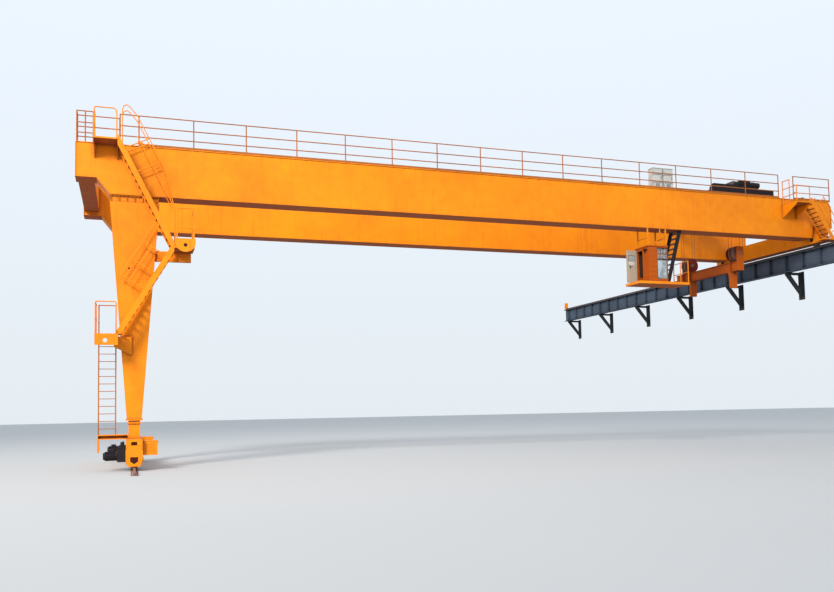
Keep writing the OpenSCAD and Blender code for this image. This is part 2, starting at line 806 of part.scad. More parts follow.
module cab_shell() {
    split_z = cab_floor + 1030;
    color(paint) placed()
        difference() {
            block([cab_x, cab_y, cab_floor], [cab_x1, cab_y1, cab_roof]);
            block([cab_x + cab_t, cab_y + cab_t, cab_floor + cab_t],
                  [cab_x1 - cab_t, cab_y1 - cab_t, cab_roof - cab_t]);
            // doorway
            block([cab_x - 1, door_y1 - door_w + 70, cab_floor + cab_t],
                  [cab_x + cab_t + 1, door_y1 - 20, cab_floor + cab_t + door_h - 60]);
            // near window in two heights, and the ones facing the load and the ladder
            for (z = [[cab_floor + 150, split_z], [split_z + 50, cab_roof - 120]])
                block([cab_x + cab_l * 0.46, cab_y - 1, z[0]], [cab_x1 - 40, cab_y + cab_t + 1, z[1]]);
            block([cab_x + 130, cab_y1 - cab_t - 1, cab_floor + 350],
                  [cab_x1 - 90, cab_y1 + 1, cab_roof - 120]);
            block([cab_x1 - cab_t - 1, cab_y + 120, cab_floor + 350],
                  [cab_x1 + 1, cab_y1 - 120, cab_roof - 120]);
        }
}

// Pivots above and below the door leaf, on the cab's left wall.
module door_pivots() {
    color(machine) placed()
        for (s = [-1, 1]) {
            z = s > 0 ? door_z1 + 6 : door_z0 - 6;
            block([hinge_x - 25, hinge_y - 25, s > 0 ? z : z - 14],
                  [cab_x, hinge_y + 25, s > 0 ? z + 14 : z]);
            bar([hinge_x, hinge_y, s > 0 ? z - 40 : z - 2], [hinge_x, hinge_y, s > 0 ? z + 2 : z + 40],
                2 * pin_r);
        }
}

module cab_glazing() {
    t = 8;
    split_z = cab_floor + 1030;
    color(glass) placed() {
        for (z = [[cab_floor + 150, split_z], [split_z + 50, cab_roof - 120]])
            block([cab_x + cab_l * 0.46, cab_y + 20, z[0]], [cab_x1 - 40, cab_y + 20 + t, z[1]]);
        block([cab_x + 130, cab_y1 - 20 - t, cab_floor + 350], [cab_x1 - 90, cab_y1 - 20, cab_roof - 120]);
        block([cab_x1 - 20 - t, cab_y + 120, cab_floor + 350], [cab_x1 - 20, cab_y1 - 120, cab_roof - 120]);
    }
}

// Door leaf standing open, turned out from its closed place.
module cab_door() {
    color(beige) placed()
        difference() {
            block([hinge_x + 15 - door_w, hinge_y - door_t / 2, door_z0],
                  [hinge_x + 15, hinge_y + door_t / 2, door_z1]);
            bar([hinge_x, hinge_y, door_z0 - 1], [hinge_x, hinge_y, door_z0 + 50], 2 * (pin_r + clear));
            bar([hinge_x, hinge_y, door_z1 - 50], [hinge_x, hinge_y, door_z1 + 1], 2 * (pin_r + clear));
            // pane in the upper half
            block([hinge_x + 110 - door_w, hinge_y - door_t, door_z1 - 700],
                  [hinge_x - 110, hinge_y - door_t / 2 + 14, door_z1 - 250]);
        }
}

module cab_deck() {
    x1 = cab_x1 + 1100;
    color(paint) placed() {
        block([cab_x - 600, cab_y - 100, cab_floor - 120], [x1, cab_y1 + 40, cab_floor]);
        guard([[x1 - 25, cab_y - 70, cab_floor - 30], [x1 - 25, (cab_y + cab_y1) / 2, cab_floor - 30],
               [x1 - 25, cab_y1 + 10, cab_floor - 30]], 1050);
    }
}

module cab_hangers() {
    post = 60;
    xs = [cab_x + 5, cab_x1 - post];
    color(paint) placed() {
        for (x = xs) {
            for (y = [10, girder_w - post])
                block([x, y, cab_roof], [x + post, y + post, girder_z]);
            block([x + 5, 40, cab_roof + 380], [x + post - 5, girder_w - 40, cab_roof + 440]);
        }
        // bar over the roof and a pair of raking braces, in the near plane
        block([xs[0] + 20, 20, cab_roof + 130], [xs[1] + 20, 50, cab_roof + 180]);
        for (s = [-1, 1])
            bar([cab_x + cab_l * 0.68 + s * 20, 35, girder_z - 160],
                [cab_x + cab_l * 0.68 + s * 250, 35, cab_roof + 150], 34);
        bar([cab_x + cab_l * 0.68, 35, girder_z], [cab_x + cab_l * 0.68, 35, girder_z - 190], 44);
    }
}

module cab_ladder() {
    x0 = cab_x1 + 140;
    x1 = cab_x1 + 870;
    color(machine) placed()
        intersection() {
            flight(x0, cab_floor, x1, girder_z, 160, 700, 10);
            block([cab_x1, 0, cab_floor], [x1 + 500, girder_w, girder_z]);
        }
}

module electric_boxes() {
    color(beige) placed()
        for (x = [cab_x + 500, cab_x + 1100])
            block([x, 120, girder_top], [x + 520, 480, girder_top + 1000]);
}

// Trolley and hoist.

module trolley_frame() {
    x0 = trolley_mid - trolley_l / 2;
    x1 = trolley_mid + trolley_l / 2;
    color(machine) placed() {
        for (y = trolley_rail_ys)
            difference() {
                block([x0, y - 150, axle_z - 90], [x1, y + 150, sill_top]);
                for (x = [x0 + 300, x1 - 300]) {
                    block([x - trolley_wheel_r - 60, y - 75, axle_z - 100],
                          [x + trolley_wheel_r + 60, y + 75, axle_z + trolley_wheel_r + 25]);
                    translate([x, y - 200, axle_z]) rotate([-90, 0, 0])
                        cylinder(r = 40 + clear, h = 400);
                }
            }
        for (x = [x0 + 700, x1 - 1000])
            block([x, trolley_rail_ys[0], sill_top - 300], [x + 300, trolley_rail_ys[1], sill_top]);
        // anchor bar for the fixed rope ends
        block([trolley_mid + rope_x - 60, trolley_rail_ys[0], sill_top - 300],
              [trolley_mid + rope_x + 60, trolley_rail_ys[1], sill_top - 180]);
        // raised kerb over the left half of the near sill
        block([x0 + 40, trolley_rail_ys[0] - 140, sill_top - 10],
              [trolley_mid - 300, trolley_rail_ys[0] + 100, sill_top + 130]);
    }
}

module hoist_machinery() {
    near_y = girder_w + 280;
    color(machine) placed() {
        for (y = [near_y, width_y - girder_w - 400])
            difference() {
                wall_xz(y, y + 120)
                    polygon([[trolley_mid - 1000, sill_top], [trolley_mid + 1000, sill_top],
                             [trolley_mid + 170, drum_z + 130], [trolley_mid - 170, drum_z + 130]]);
                bar([trolley_mid, y - 1, drum_z], [trolley_mid, y + 121, drum_z], 2 * (journal_r + clear));
            }
        // gear case on the near sill, with the motor beside it
        difference() {
            block([trolley_mid - 210, near_y - 530, sill_top],
                  [trolley_mid + 420, near_y - 40, drum_z + 190]);
            bar([trolley_mid, near_y - 300, drum_z], [trolley_mid, near_y, drum_z],
                2 * (journal_r + clear));
        }
        bar([trolley_mid + 410, near_y - 400, sill_top + 200],
            [trolley_mid + 1000, near_y - 400, sill_top + 200], 300);
        block([trolley_mid + 500, near_y - 500, sill_top],
              [trolley_mid + 900, near_y - 300, sill_top + 100]);
    }
}

module hoist_drum() {
    color(steel) placed()
        translate([trolley_mid, 0, drum_z]) {
            bar([0, girder_w + 420, 0], [0, width_y - girder_w - 420, 0], 2 * drum_r);
            bar([0, girder_w + 80, 0], [0, width_y - girder_w - 270, 0], 2 * journal_r);
        }
}

module trolley_axle(x) {
    for (y = trolley_rail_ys)
        translate([x, y, axle_z]) rotate([90, 0, 0]) {
            translate([0, 0, -55]) cylinder(r = trolley_wheel_r - clear, h = 110, $fn = 64);
            translate([0, 0, -130]) cylinder(r = 40, h = 260);
        }
}

module trolley_wheels_left() {
    color(steel) placed() trolley_axle(trolley_mid - trolley_l / 2 + 300);
}

module trolley_wheels_right() {
    color(steel) placed() trolley_axle(trolley_mid + trolley_l / 2 - 300);
}

module lifting_beam() {
    y0 = block_ys[0] - block_half;
    y1 = width_y - y0;
    web = 110;
    lip = 28;
    color(paint) placed() {
        block([trolley_mid - web, y0, beam_z], [trolley_mid + web, y1, beam_z + beam_h]);
        for (z = [beam_z, beam_z + beam_h - lip])
            block([trolley_mid - web - 50, y0, z], [trolley_mid + web + 50, y1, z + lip]);
        for (b = block_ys) for (s = [-1, 1])
            block([trolley_mid - 200, b + s * (block_half - 25) - 25, beam_z],
                  [trolley_mid + 200, b + s * (block_half - 25) + 25, sheave_z + 320]);
    }
}

module claws() {
    claw_h = 820;
    color(paint) placed()
        for (y = [block_ys[0] + 300, block_ys[1] - 320])
            wall_xz(y - 75, y + 75)
                polygon([[trolley_mid - 250, beam_z], [trolley_mid + 250, beam_z],
                         [trolley_mid + 190, beam_z - 300], [trolley_mid + 180, beam_z - claw_h],
                         [trolley_mid - 180, beam_z - claw_h], [trolley_mid - 190, beam_z - 300]]);
}

module hook_sheaves() {
    rim = rope_pitch_r + 25;
    color(steel) placed() {
        for (y = rope_ys)
            translate([trolley_mid, y, sheave_z]) rotate([90, 0, 0])
                rotate_extrude($fn = 64)
                    polygon([[50, -40], [rim, -40], [rim, -rope_r - 2],
                             [rope_pitch_r - rope_r - clear, -rope_r - 2],
                             [rope_pitch_r - rope_r - clear, rope_r + 2],
                             [rim, rope_r + 2], [rim, 40], [50, 40]]);
        for (b = block_ys)
            bar([trolley_mid, b - block_half + 50, sheave_z],
                [trolley_mid, b + block_half - 50, sheave_z], 120);
    }
}

module drum_ropes() {
    color(steel) placed()
        for (y = rope_ys)
            bar([trolley_mid - rope_x, y, sheave_z], [trolley_mid - rope_x, y, drum_z], 2 * rope_r);
}

module anchor_ropes() {
    color(steel) placed()
        for (y = rope_ys)
            bar([trolley_mid + rope_x, y, sheave_z],
                [trolley_mid + rope_x, y, sill_top - 300 - clear], 2 * rope_r);
}

ground_rail();
runway_beam();
runway_rail();
runway_brackets();
runway_stops();
near_girder();
far_girder();
left_end_tie();
trolley_rails();
trolley_stops();
near_leg();
far_leg();
leg_saddles();
ground_carriage();
wall_carriage();
travel_motors();
motor_covers();
near_girder_railing();
far_girder_railing();
left_end_railing();
leg_platform();
landing();
lower_stair();
upper_stair();
leg_ladder();
service_step();
left_top_platform();
right_top_platform();
wall_stair();
cab_shell();
cab_glazing();
cab_deck();
cab_hangers();
cab_ladder();
electric_boxes();
door_pivots();
cab_door();
ground_wheel_near();
ground_wheel_far();
wall_wheel_near();
wall_wheel_far();
trolley_frame();
hoist_machinery();
hoist_drum();
trolley_wheels_left();
trolley_wheels_right();
lifting_beam();
claws();
hook_sheaves();
drum_ropes();
anchor_ropes();
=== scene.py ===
"""Semi-gantry crane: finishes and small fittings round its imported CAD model."""

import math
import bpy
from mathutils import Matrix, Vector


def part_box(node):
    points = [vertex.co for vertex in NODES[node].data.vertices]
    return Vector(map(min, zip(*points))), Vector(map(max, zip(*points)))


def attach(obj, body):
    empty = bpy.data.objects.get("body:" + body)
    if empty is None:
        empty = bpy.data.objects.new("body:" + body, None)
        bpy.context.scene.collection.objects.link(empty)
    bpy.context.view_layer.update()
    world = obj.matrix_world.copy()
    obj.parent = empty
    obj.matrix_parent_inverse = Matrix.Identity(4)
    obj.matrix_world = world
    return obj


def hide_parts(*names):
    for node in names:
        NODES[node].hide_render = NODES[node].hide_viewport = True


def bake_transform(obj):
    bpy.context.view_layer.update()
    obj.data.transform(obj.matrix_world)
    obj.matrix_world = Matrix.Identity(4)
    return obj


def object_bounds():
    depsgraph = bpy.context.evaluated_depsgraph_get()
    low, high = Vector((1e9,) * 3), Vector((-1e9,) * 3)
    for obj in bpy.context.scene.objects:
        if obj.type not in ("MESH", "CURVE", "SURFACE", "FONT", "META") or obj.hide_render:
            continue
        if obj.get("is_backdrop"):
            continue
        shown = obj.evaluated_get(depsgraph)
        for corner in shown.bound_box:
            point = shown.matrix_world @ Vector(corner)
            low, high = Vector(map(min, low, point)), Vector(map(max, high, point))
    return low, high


bl_info = {
    "name": "Semi-Gantry Crane Dressing",
    "version": (1, 0, 0),
    "blender": (4, 5, 0),
    "location": "View3D > Sidebar > Crane",
    "description": "Paint, steel and glass finishes and the small fittings of a semi-gantry crane",
    "category": "Add Mesh",
}

from itertools import product

import bmesh
import bpy
from mathutils import Matrix, Vector

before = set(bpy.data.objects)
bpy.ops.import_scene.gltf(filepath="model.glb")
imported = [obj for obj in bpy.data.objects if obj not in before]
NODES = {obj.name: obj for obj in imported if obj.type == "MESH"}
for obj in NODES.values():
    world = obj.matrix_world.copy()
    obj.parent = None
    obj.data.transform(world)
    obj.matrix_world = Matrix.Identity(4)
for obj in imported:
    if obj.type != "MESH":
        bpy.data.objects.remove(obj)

# The crane's own axes: the rail under the legs, the near girder's flange edge and the rail top.
RAIL_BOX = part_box("ground_rail")
GIRDER_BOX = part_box("near_girder")
ORIGIN = Vector(((RAIL_BOX[0][0] + RAIL_BOX[1][0]) / 2, GIRDER_BOX[0][1], RAIL_BOX[1][2]))

# Directions, and both ways along an axis.
UP, DOWN, LEFT = (0, 0, 1), (0, 0, -1), (-1, 0, 0)
BOTH = (-1, 1)

# Places on the CAD model that fittings sit on, in metres from ORIGIN.
WALL_RAIL_X = 33.0
BRACKET_BOLTS_Z = 8.23
GIRDER_TOP = 12.24
LEG_FOOT, LEG_HEAD = 1.78, 10.0
LEG_FOOT_HALF, LEG_HEAD_HALF = (0.26, 0.23), (0.89, 0.4)
LEG_HOLES, HUB_Z = ((-0.204, 7.51), (0.153, 7.6)), 8.32
PLATE_JOINTS = (-0.62, 0.62, 5.6, 11.6, 17.6, 23.6, 29.6)
CARRIAGE_HALF = 0.29
CARRIAGE_ENDS = ((-0.31, -1), (7.69, 1))
DRIVE_YS, DRIVE_Z = (0.21, 7.17), 0.43
HOIST_Z = 13.0
POST_STEP = 2.03

# The stage: half the floor's width, the lamp and the camera.
FLOOR_HALF = 400.0
LAMP_PLACE, LAMP_AIM = (-53.6, -81.6, 64.0), (2.0, 2.0, 9.0)
LAMP_WIDTH, LAMP_SPREAD = 36.0, 46
CAMERA_PLACE = (-0.18, -33.914, 1.837)
CAMERA_YAW, CAMERA_PITCH, CAMERA_ROLL = 0.34233, 0.0643, -0.01948
CAMERA_SHIFT = (-0.01852, 0.07348)


def at(x, y, z):
    """A point given from the ground rail, the near girder's edge and the rail top."""
    return ORIGIN + Vector((x, y, z))


def local_box(node):
    """The corners of a CAD node, measured from the same place as at()."""
    low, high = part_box(node)
    return Vector(low) - ORIGIN, Vector(high) - ORIGIN


def middle(node):
    """The middle of a CAD node, measured from the same place."""
    low, high = local_box(node)
    return (low + high) / 2


def spaced(start, end, gaps):
    """Evenly spaced values from start to end, both included."""
    return [start + (end - start) * k / gaps for k in range(gaps + 1)]


def leg_half(z):
    """Half a leg's width along the girders and along the rails, at a height."""
    share = (z - LEG_FOOT) / (LEG_HEAD - LEG_FOOT)
    return [foot + (head - foot) * share for foot, head in zip(LEG_FOOT_HALF, LEG_HEAD_HALF)]


# Mesh helpers. Their points are given in the same way as for at().

def add_block(bm, corner, opposite, bevel=0.0, segments=1):
    """A box between two opposite corners, its edges bevelled."""
    a, b = at(*corner), at(*opposite)
    size = [abs(v) for v in b - a]
    place = Matrix.Translation((a + b) / 2) @ Matrix.Diagonal((*size, 1.0))
    made = bmesh.ops.create_cube(bm, size=1.0, matrix=place)
    if bevel > 0:
        edges = list({e for v in made["verts"] for e in v.link_edges})
        bmesh.ops.bevel(bm, geom=edges, offset=bevel, segments=segments, profile=0.5,
                        affect="EDGES", material=-1, clamp_overlap=True)


def along(start, end):
    """The turn and place that lay a shape made on Z between two frame points."""
    turn = (end - start).to_track_quat("Z", "Y").to_matrix().to_4x4()
    return Matrix.Translation((start + end) / 2) @ turn


def add_rod(bm, start, end, radius, sides=12, radius_end=None):
    """A round rod, or a cone, between two points."""
    start, end = at(*start), at(*end)
    bmesh.ops.create_cone(bm, cap_ends=True, segments=sides, radius1=radius,
                          radius2=radius if radius_end is None else radius_end,
                          depth=(end - start).length, matrix=along(start, end))


def add_bolt(bm, seat, axis, across=0.036, head=0.016, washer=True):
    """A washer, a hexagon head and its chamfered top, standing on a seat along an axis."""
    base, axis, half = Vector(seat), Vector(axis), across / 2
    if washer:
        add_rod(bm, base, base + axis * 0.004, across * 0.62)
        base = base + axis * 0.0035
    top = base + axis * head
    add_rod(bm, base, top, half * 1.155, 6)
    add_rod(bm, top, top + axis * 0.004, half * 1.1, 6, half * 0.85)


def add_small_bolt(bm, seat, axis, across=0.022, head=0.01):
    """A small bolt without a washer."""
    add_bolt(bm, seat, axis, across, head, False)


def round_points(count, radius, start=0.0):
    """Points spread evenly on a circle, the first one turned by a share of the step."""
    angles = [math.tau * (k + start) / count for k in range(count)]
    return [(radius * math.cos(a), radius * math.sin(a)) for a in angles]


def add_lathe(bm, centre, axis, profile, steps=32):
    """A turned shape: points of (radius, distance along the axis) spun round it."""
    centre = at(*centre)
    turn = Vector(axis).to_track_quat("Z", "Y").to_matrix()
    verts = [bm.verts.new(centre + turn @ Vector((r, 0, h))) for r, h in profile]
    edges = [bm.edges.new(pair) for pair in zip(verts, verts[1:])]
    bmesh.ops.spin(bm, geom=verts + edges, cent=centre, axis=turn @ Vector(UP),
                   angle=math.tau, steps=steps, use_merge=True)


def swept_ring(bm, start, centre, wire, sides, **turn):
    """A wire's round section, swept from start round a line along Y through the centre."""
    ring = bmesh.ops.create_circle(bm, cap_ends=False, radius=wire, segments=sides,
                                   matrix=Matrix.Translation(at(*start)))
    edges = list({e for v in ring["verts"] for e in v.link_edges})
    bmesh.ops.spin(bm, geom=ring["verts"] + edges, cent=at(*centre), axis=(0, 1, 0),
                   use_merge=False, **turn)


def rope_turns(bm, centre, radius, wire, turns, pitch, steps=28):
    """Rope wound on the drum: a small circle swept round and along Y."""
    x, y, z = centre
    swept_ring(bm, (x + radius, y, z), centre, wire, 8, dvec=(0, pitch / steps, 0),
               angle=math.tau * turns, steps=steps * turns, use_duplicate=False)


def fin_ring(bm, start, end, inner, outer, count, thick=0.006):
    """Cooling ribs along a motor, set round it between two radii."""
    start, end = at(*start), at(*end)
    rib = Matrix.Diagonal((outer - inner, thick, (end - start).length, 1.0))
    for k in range(count):
        turn = along(start, end) @ Matrix.Rotation(math.tau * k / count, 4, "Z")
        place = turn @ Matrix.Translation(((inner + outer) / 2, 0, 0)) @ rib
        bmesh.ops.create_cube(bm, size=1.0, matrix=place)


def cowl(bm, centre, axis, radius, depth):
    """A fan cowl with a rounded rim and a ringed grille."""
    shape = ((1, -depth), (1.02, -depth * 0.5), (1, -0.012), (0.94, 0), (0.8, 0), (0.79, -0.008),
             (0.7, -0.008), (0.69, 0), (0.58, 0), (0.57, -0.008), (0.47, -0.008), (0.46, 0),
             (0.3, 0.002), (0, 0.004))
    add_lathe(bm, centre, axis, [(radius * share, h) for share, h in shape])


def strips(u0, v0, u1, v1, width):
    """The four strips of a flat frame round an opening: below, above and at both sides."""
    return (((u0 - width, v0 - width), (u1 + width, v0)), ((u0 - width, v1), (u1 + width, v1 + width)),
            ((u0 - width, v0), (u0, v1)), ((u1, v0), (u1 + width, v1)))


def frame_ring(bm, low, high, axis, width, stand):
    """A flat frame round an opening in a face across X or Y, standing out from it."""
    (x0, y0, z0), (x1, y1, z1) = low, high
    if axis == "Y":
        for (a, b), (c, d) in strips(x0, z0, x1, z1, width):
            add_block(bm, (a, y0, b), (c, y0 + stand, d), 0.003)
    else:
        for (a, b), (c, d) in strips(y0, z0, y1, z1, width):
            add_block(bm, (x0, a, b), (x0 + stand, c, d), 0.003)


def new_object(name, bm, finish):
    """Turns a bmesh into an object of the scene with a finish."""
    mesh = bpy.data.meshes.new(name)
    bm.to_mesh(mesh)
    bm.free()
    mesh.materials.append(bpy.data.materials[finish])
    made = bpy.data.objects.new(name, mesh)
    bpy.context.scene.collection.objects.link(made)
    return made


def finish_piece(name, bm, finish, body):
    """Turns a bmesh into a piece with a finish, which rides on a body where one is named."""
    bmesh.ops.remove_doubles(bm, verts=bm.verts, dist=0.00001)
    bmesh.ops.recalc_face_normals(bm, faces=bm.faces)
    piece = new_object(name, bm, finish)
    piece.data.polygons.foreach_set("use_smooth", [True] * len(piece.data.polygons))
    piece.data.set_sharp_from_angle(angle=math.radians(35))
    if body:
        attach(piece, body)
    return piece


# Material helpers

class Graph:
    """Adds and joins nodes of one tree in few words."""

    def __init__(self, tree):
        self.tree = tree

    def node(self, kind, inputs=None, **settings):
        made = self.tree.nodes.new(kind)
        for key, value in settings.items():
            setattr(made, key, value)
        self.fill(made, inputs or {})
        return made

    def feed(self, target, value):
        if isinstance(value, bpy.types.NodeSocket):
            self.tree.links.new(value, target)
        else:
            target.default_value = value

    def fill(self, node, inputs):
        for key, value in inputs.items():
            self.feed(node.inputs[key], value)

    def place(self):
        return self.node("ShaderNodeTexCoord").outputs["Object"]

    def up(self):
        normal = self.node("ShaderNodeNewGeometry").outputs["Normal"]
        return self.node("ShaderNodeSeparateXYZ", {"Vector": normal}).outputs[2]

    def maths(self, operation, a, b=0.0, clamp=False):
        made = self.node("ShaderNodeMath", {0: a, 1: b}, operation=operation, use_clamp=clamp)
        return made.outputs[0]

    def times(self, value, *factors):
        for factor in factors:
            value = self.maths("MULTIPLY", value, factor)
        return value

    def plus(self, value, *others):
        for other in others:
            value = self.maths("ADD", value, other)
        return value

    def mix(self, share, a, b):
        made = self.node("ShaderNodeMix", {0: share}, data_type="RGBA")
        self.fill(made, {6: a, 7: b})
        return made.outputs[2]

    def noise(self, vector, scale, detail=3.0, roughness=0.5):
        return self.node("ShaderNodeTexNoise", {"Vector": vector, "Scale": scale, "Detail": detail,
                                                "Roughness": roughness}).outputs[0]

    def spread(self, value, low, high, to_low=0.0, to_high=1.0):
        return self.node("ShaderNodeMapRange", {"Value": value, "From Min": low, "From Max": high,
                                                "To Min": to_low, "To Max": to_high}).outputs[0]

    def mapped(self, vector, **change):
        return self.node("ShaderNodeMapping", {"Vector": vector, **change}).outputs[0]

    def relief(self, shader, strength, distance, height):
        bump = self.node("ShaderNodeBump", {"Strength": strength, "Distance": distance, "Height": height})
        self.feed(shader.inputs["Normal"], bump.outputs[0])


def scaled(colour, *factors):
    """A colour times one factor, or times one for each of its three parts."""
    return tuple(v * k for v, k in zip(colour, factors * 3))


def start_group(name, inputs, outputs):
    """A node group with named sockets: its graph, the values it is given and its output node."""
    group = bpy.data.node_groups.new(name, "ShaderNodeTree")
    for key, value in inputs.items():
        kind = "NodeSocketFloat" if isinstance(value, float) else "NodeSocketColor"
        group.interface.new_socket(name=key, in_out="INPUT", socket_type=kind).default_value = value
    for key in outputs:
        kind = "NodeSocketColor" if key == "Color" else "NodeSocketFloat"
        group.interface.new_socket(name=key, in_out="OUTPUT", socket_type=kind)
    g = Graph(group)
    return g, g.node("NodeGroupInput").outputs, g.node("NodeGroupOutput")


def weather_group(name):
    """Sun fading, rain streaks, dust on level faces, and painted shade on undersides and in corners."""
    g, given, out = start_group(name, {
        "Color": (0.8, 0.3, 0.02, 1), "Shade": (0.3, 0.08, 0.01, 1), "Fading": 0.3, "Streaks": 0.3,
        "Dust": 0.3, "Gloss": 0.4, "Soot": 0.0, "Corners": 0.0, "Grime": (0.2, 0.045, 0.02, 1),
    }, ("Color", "Roughness", "Height"))
    place, up = g.place(), g.up()
    broad = g.noise(place, 0.35, 4.0, 0.55)
    patch = g.noise(place, 2.6, 5.0, 0.6)
    runs = g.noise(g.mapped(place, Scale=(7.0, 7.0, 0.35)), 1.0, 4.0, 0.6)
    peel = g.noise(place, 160.0, 2.0, 0.5)

    fade = g.times(g.spread(g.plus(broad, g.times(patch, 0.5)), 0.55, 0.95), given["Fading"])
    colour = g.mix(fade, given["Color"], given["Shade"])
    side = g.spread(g.maths("ABSOLUTE", up), 0.6, 0.2)
    streak = g.times(g.spread(runs, 0.56, 0.74), given["Streaks"], side)
    colour = g.mix(streak, colour, given["Shade"])
    dusty = g.times(g.spread(up, 0.55, 0.95), g.spread(patch, 0.3, 0.7, 0.45, 1.0), given["Dust"])
    colour = g.mix(dusty, colour, (0.4, 0.34, 0.27, 1))
    # Painted shade: faces that look down turn towards the painted shade colour.
    under = g.times(g.spread(up, -0.6, -0.95), given["Soot"])
    colour = g.mix(under, colour, given["Grime"])
    # Painted shade: ambient occlusion darkens corners, creases and recesses towards the painted shade
    # colour.
    shut = g.node("ShaderNodeAmbientOcclusion", {"Distance": 0.22}, samples=6).outputs["AO"]
    corner = g.times(g.spread(shut, 0.8, 0.35), g.spread(patch, 0.25, 0.65, 0.55, 1.0), given["Corners"])
    colour = g.mix(corner, colour, given["Grime"])

    dull = g.plus(g.times(g.maths("MAXIMUM", under, corner), 0.35),
                  g.times(g.spread(patch, 0.3, 0.7), 0.16), g.times(dusty, 0.35))
    g.fill(out, {"Color": colour, "Roughness": g.maths("ADD", given["Gloss"], dull, clamp=True),
                 "Height": g.plus(g.times(peel, 0.15), broad)})
    return g.tree


def rust_group(name):
    """Brown rust on rolled steel, rubbed bright on the faces that wheels run on."""
    g, given, out = start_group(name, {
        "Rust": (0.16, 0.06, 0.025, 1), "Steel": (0.3, 0.28, 0.27, 1), "Bright": 0.5,
    }, ("Color", "Metal", "Roughness", "Height"))
    place, up = g.place(), g.up()
    scale = g.noise(place, 5.0, 6.0, 0.65)
    pits = g.noise(place, 60.0, 4.0, 0.6)
    rubbed = g.times(g.spread(up, 0.75, 0.98), given["Bright"])
    keep = g.maths("MULTIPLY", g.spread(scale, 0.38, 0.62), g.spread(pits, 0.3, 0.7, 0.5, 1.0), clamp=True)
    bare = g.maths("MAXIMUM", rubbed, g.times(g.maths("SUBTRACT", 1.0, keep), 0.35), clamp=True)
    dark = g.mix(0.5, given["Rust"], (0.06, 0.03, 0.02, 1))
    tone = g.mix(g.spread(pits, 0.3, 0.7), given["Rust"], dark)
    g.fill(out, {"Color": g.mix(bare, tone, given["Steel"]), "Metal": g.times(bare, 0.85),
                 "Roughness": g.spread(bare, 0.0, 1.0, 0.85, 0.34), "Height": g.plus(pits, scale)})
    return g.tree


def new_material(name):
    """A new material's graph and its Principled shader."""
    material = bpy.data.materials.new(name)
    material.use_nodes = True
    return Graph(material.node_tree), material.node_tree.nodes["Principled BSDF"]


def group_material(name, group_name, build, values, targets, strength, distance):
    """A material fed by a shared node group, which is built on its first use."""
    g, shader = new_material(name)
    tree = bpy.data.node_groups.get(group_name) or build(group_name)
    group = g.node("ShaderNodeGroup", values, node_tree=tree)
    g.fill(shader, {target: group.outputs[source] for source, target in targets.items()})
    g.relief(shader, strength, distance, group.outputs["Height"])
    return shader


# The last three arguments set painted shade: its share on down-facing faces, its share in corners, and its
# colour.
def paint_material(name, colour, shade, fading, streaks, dust, gloss, soot=0.0, corners=0.0,
                   grime=(0.2, 0.045, 0.02)):
    """Outdoor gloss paint on steel plate."""
    values = {"Color": (*colour, 1), "Shade": (*shade, 1), "Fading": fading, "Streaks": streaks,
              "Dust": dust, "Gloss": gloss, "Soot": soot, "Corners": corners, "Grime": (*grime, 1)}
    shader = group_material(name, "outdoor_weather", weather_group, values,
                            {"Color": "Base Color", "Roughness": "Roughness"}, 0.05, 0.02)
    shader.inputs["Specular IOR Level"].default_value = 0.16


def steel_material(name, rust, steel, bright, bump=0.25):
    """Rolled or turned steel, part rusted."""
    group_material(name, "rolled_rust", rust_group,
                   {"Rust": (*rust, 1), "Steel": (*steel, 1), "Bright": bright},
                   {"Color": "Base Color", "Metal": "Metallic", "Roughness": "Roughness"}, bump, 0.004)


def rope_material():
    """Wire rope: greased strands laid on a slant."""
    g, shader = new_material("wire_rope")
    place = g.place()
    strands = g.node("ShaderNodeTexWave", {"Vector": g.mapped(place, Rotation=(0.6, 0.6, 0.0)),
                                           "Scale": 45.0, "Distortion": 0.0},
                     wave_type="BANDS", bands_direction="Z").outputs["Fac"]
    grime = g.noise(place, 12.0)
    worn = g.spread(g.plus(strands, grime), 0.5, 1.5)
    g.fill(shader, {"Base Color": g.mix(worn, (0.03, 0.027, 0.025, 1), (0.16, 0.15, 0.14, 1)),
                    "Metallic": 0.6, "Roughness": g.spread(grime, 0.3, 0.7, 0.45, 0.7)})
    g.relief(shader, 0.8, 0.003, strands)


def glass_material(tint):
    """Cab glass with a film of dust."""
    g, shader = new_material("cab_glass")
    film = g.noise(g.place(), 3.0, 5.0, 0.6)
    colour = g.mix(g.spread(film, 0.35, 0.75), (*tint, 1), (0.62, 0.66, 0.66, 1))
    g.fill(shader, {"Base Color": colour, "Roughness": g.spread(film, 0.3, 0.8, 0.03, 0.22),
                    "Alpha": g.spread(film, 0.3, 0.8, 0.22, 0.45)})


def rubber_material():
    """Black window gaskets and buffers."""
    g, shader = new_material("black_rubber")
    grain = g.noise(g.place(), 90.0)
    g.fill(shader, {"Base Color": g.mix(grain, (0.012, 0.012, 0.013, 1), (0.035, 0.034, 0.033, 1)),
                    "Roughness": g.spread(grain, 0.2, 0.8, 0.6, 0.85)})
    g.relief(shader, 0.2, 0.002, grain)


def floor_material(colour):
    """Plain pale studio floor."""
    g, shader = new_material("studio_floor")
    tone = g.mix(g.noise(g.place(), 0.2, 2.0), (*scaled(colour, 0.97), 1), (*colour, 1))
    g.fill(shader, {"Base Color": tone, "Roughness": 0.9, "Specular IOR Level": 0.1})


# Settings

def colour_setting(name, description, default):
    """A colour in a group of settings."""
    return bpy.props.FloatVectorProperty(name=name, description=description, default=default,
                                         subtype="COLOR", size=3, min=0, max=1)


def size_setting(name, description, default, low, high, unit="LENGTH"):
    """A number in a group of settings, between two limits."""
    return bpy.props.FloatProperty(name=name, description=description, default=default,
                                   min=low, max=high, unit=unit)


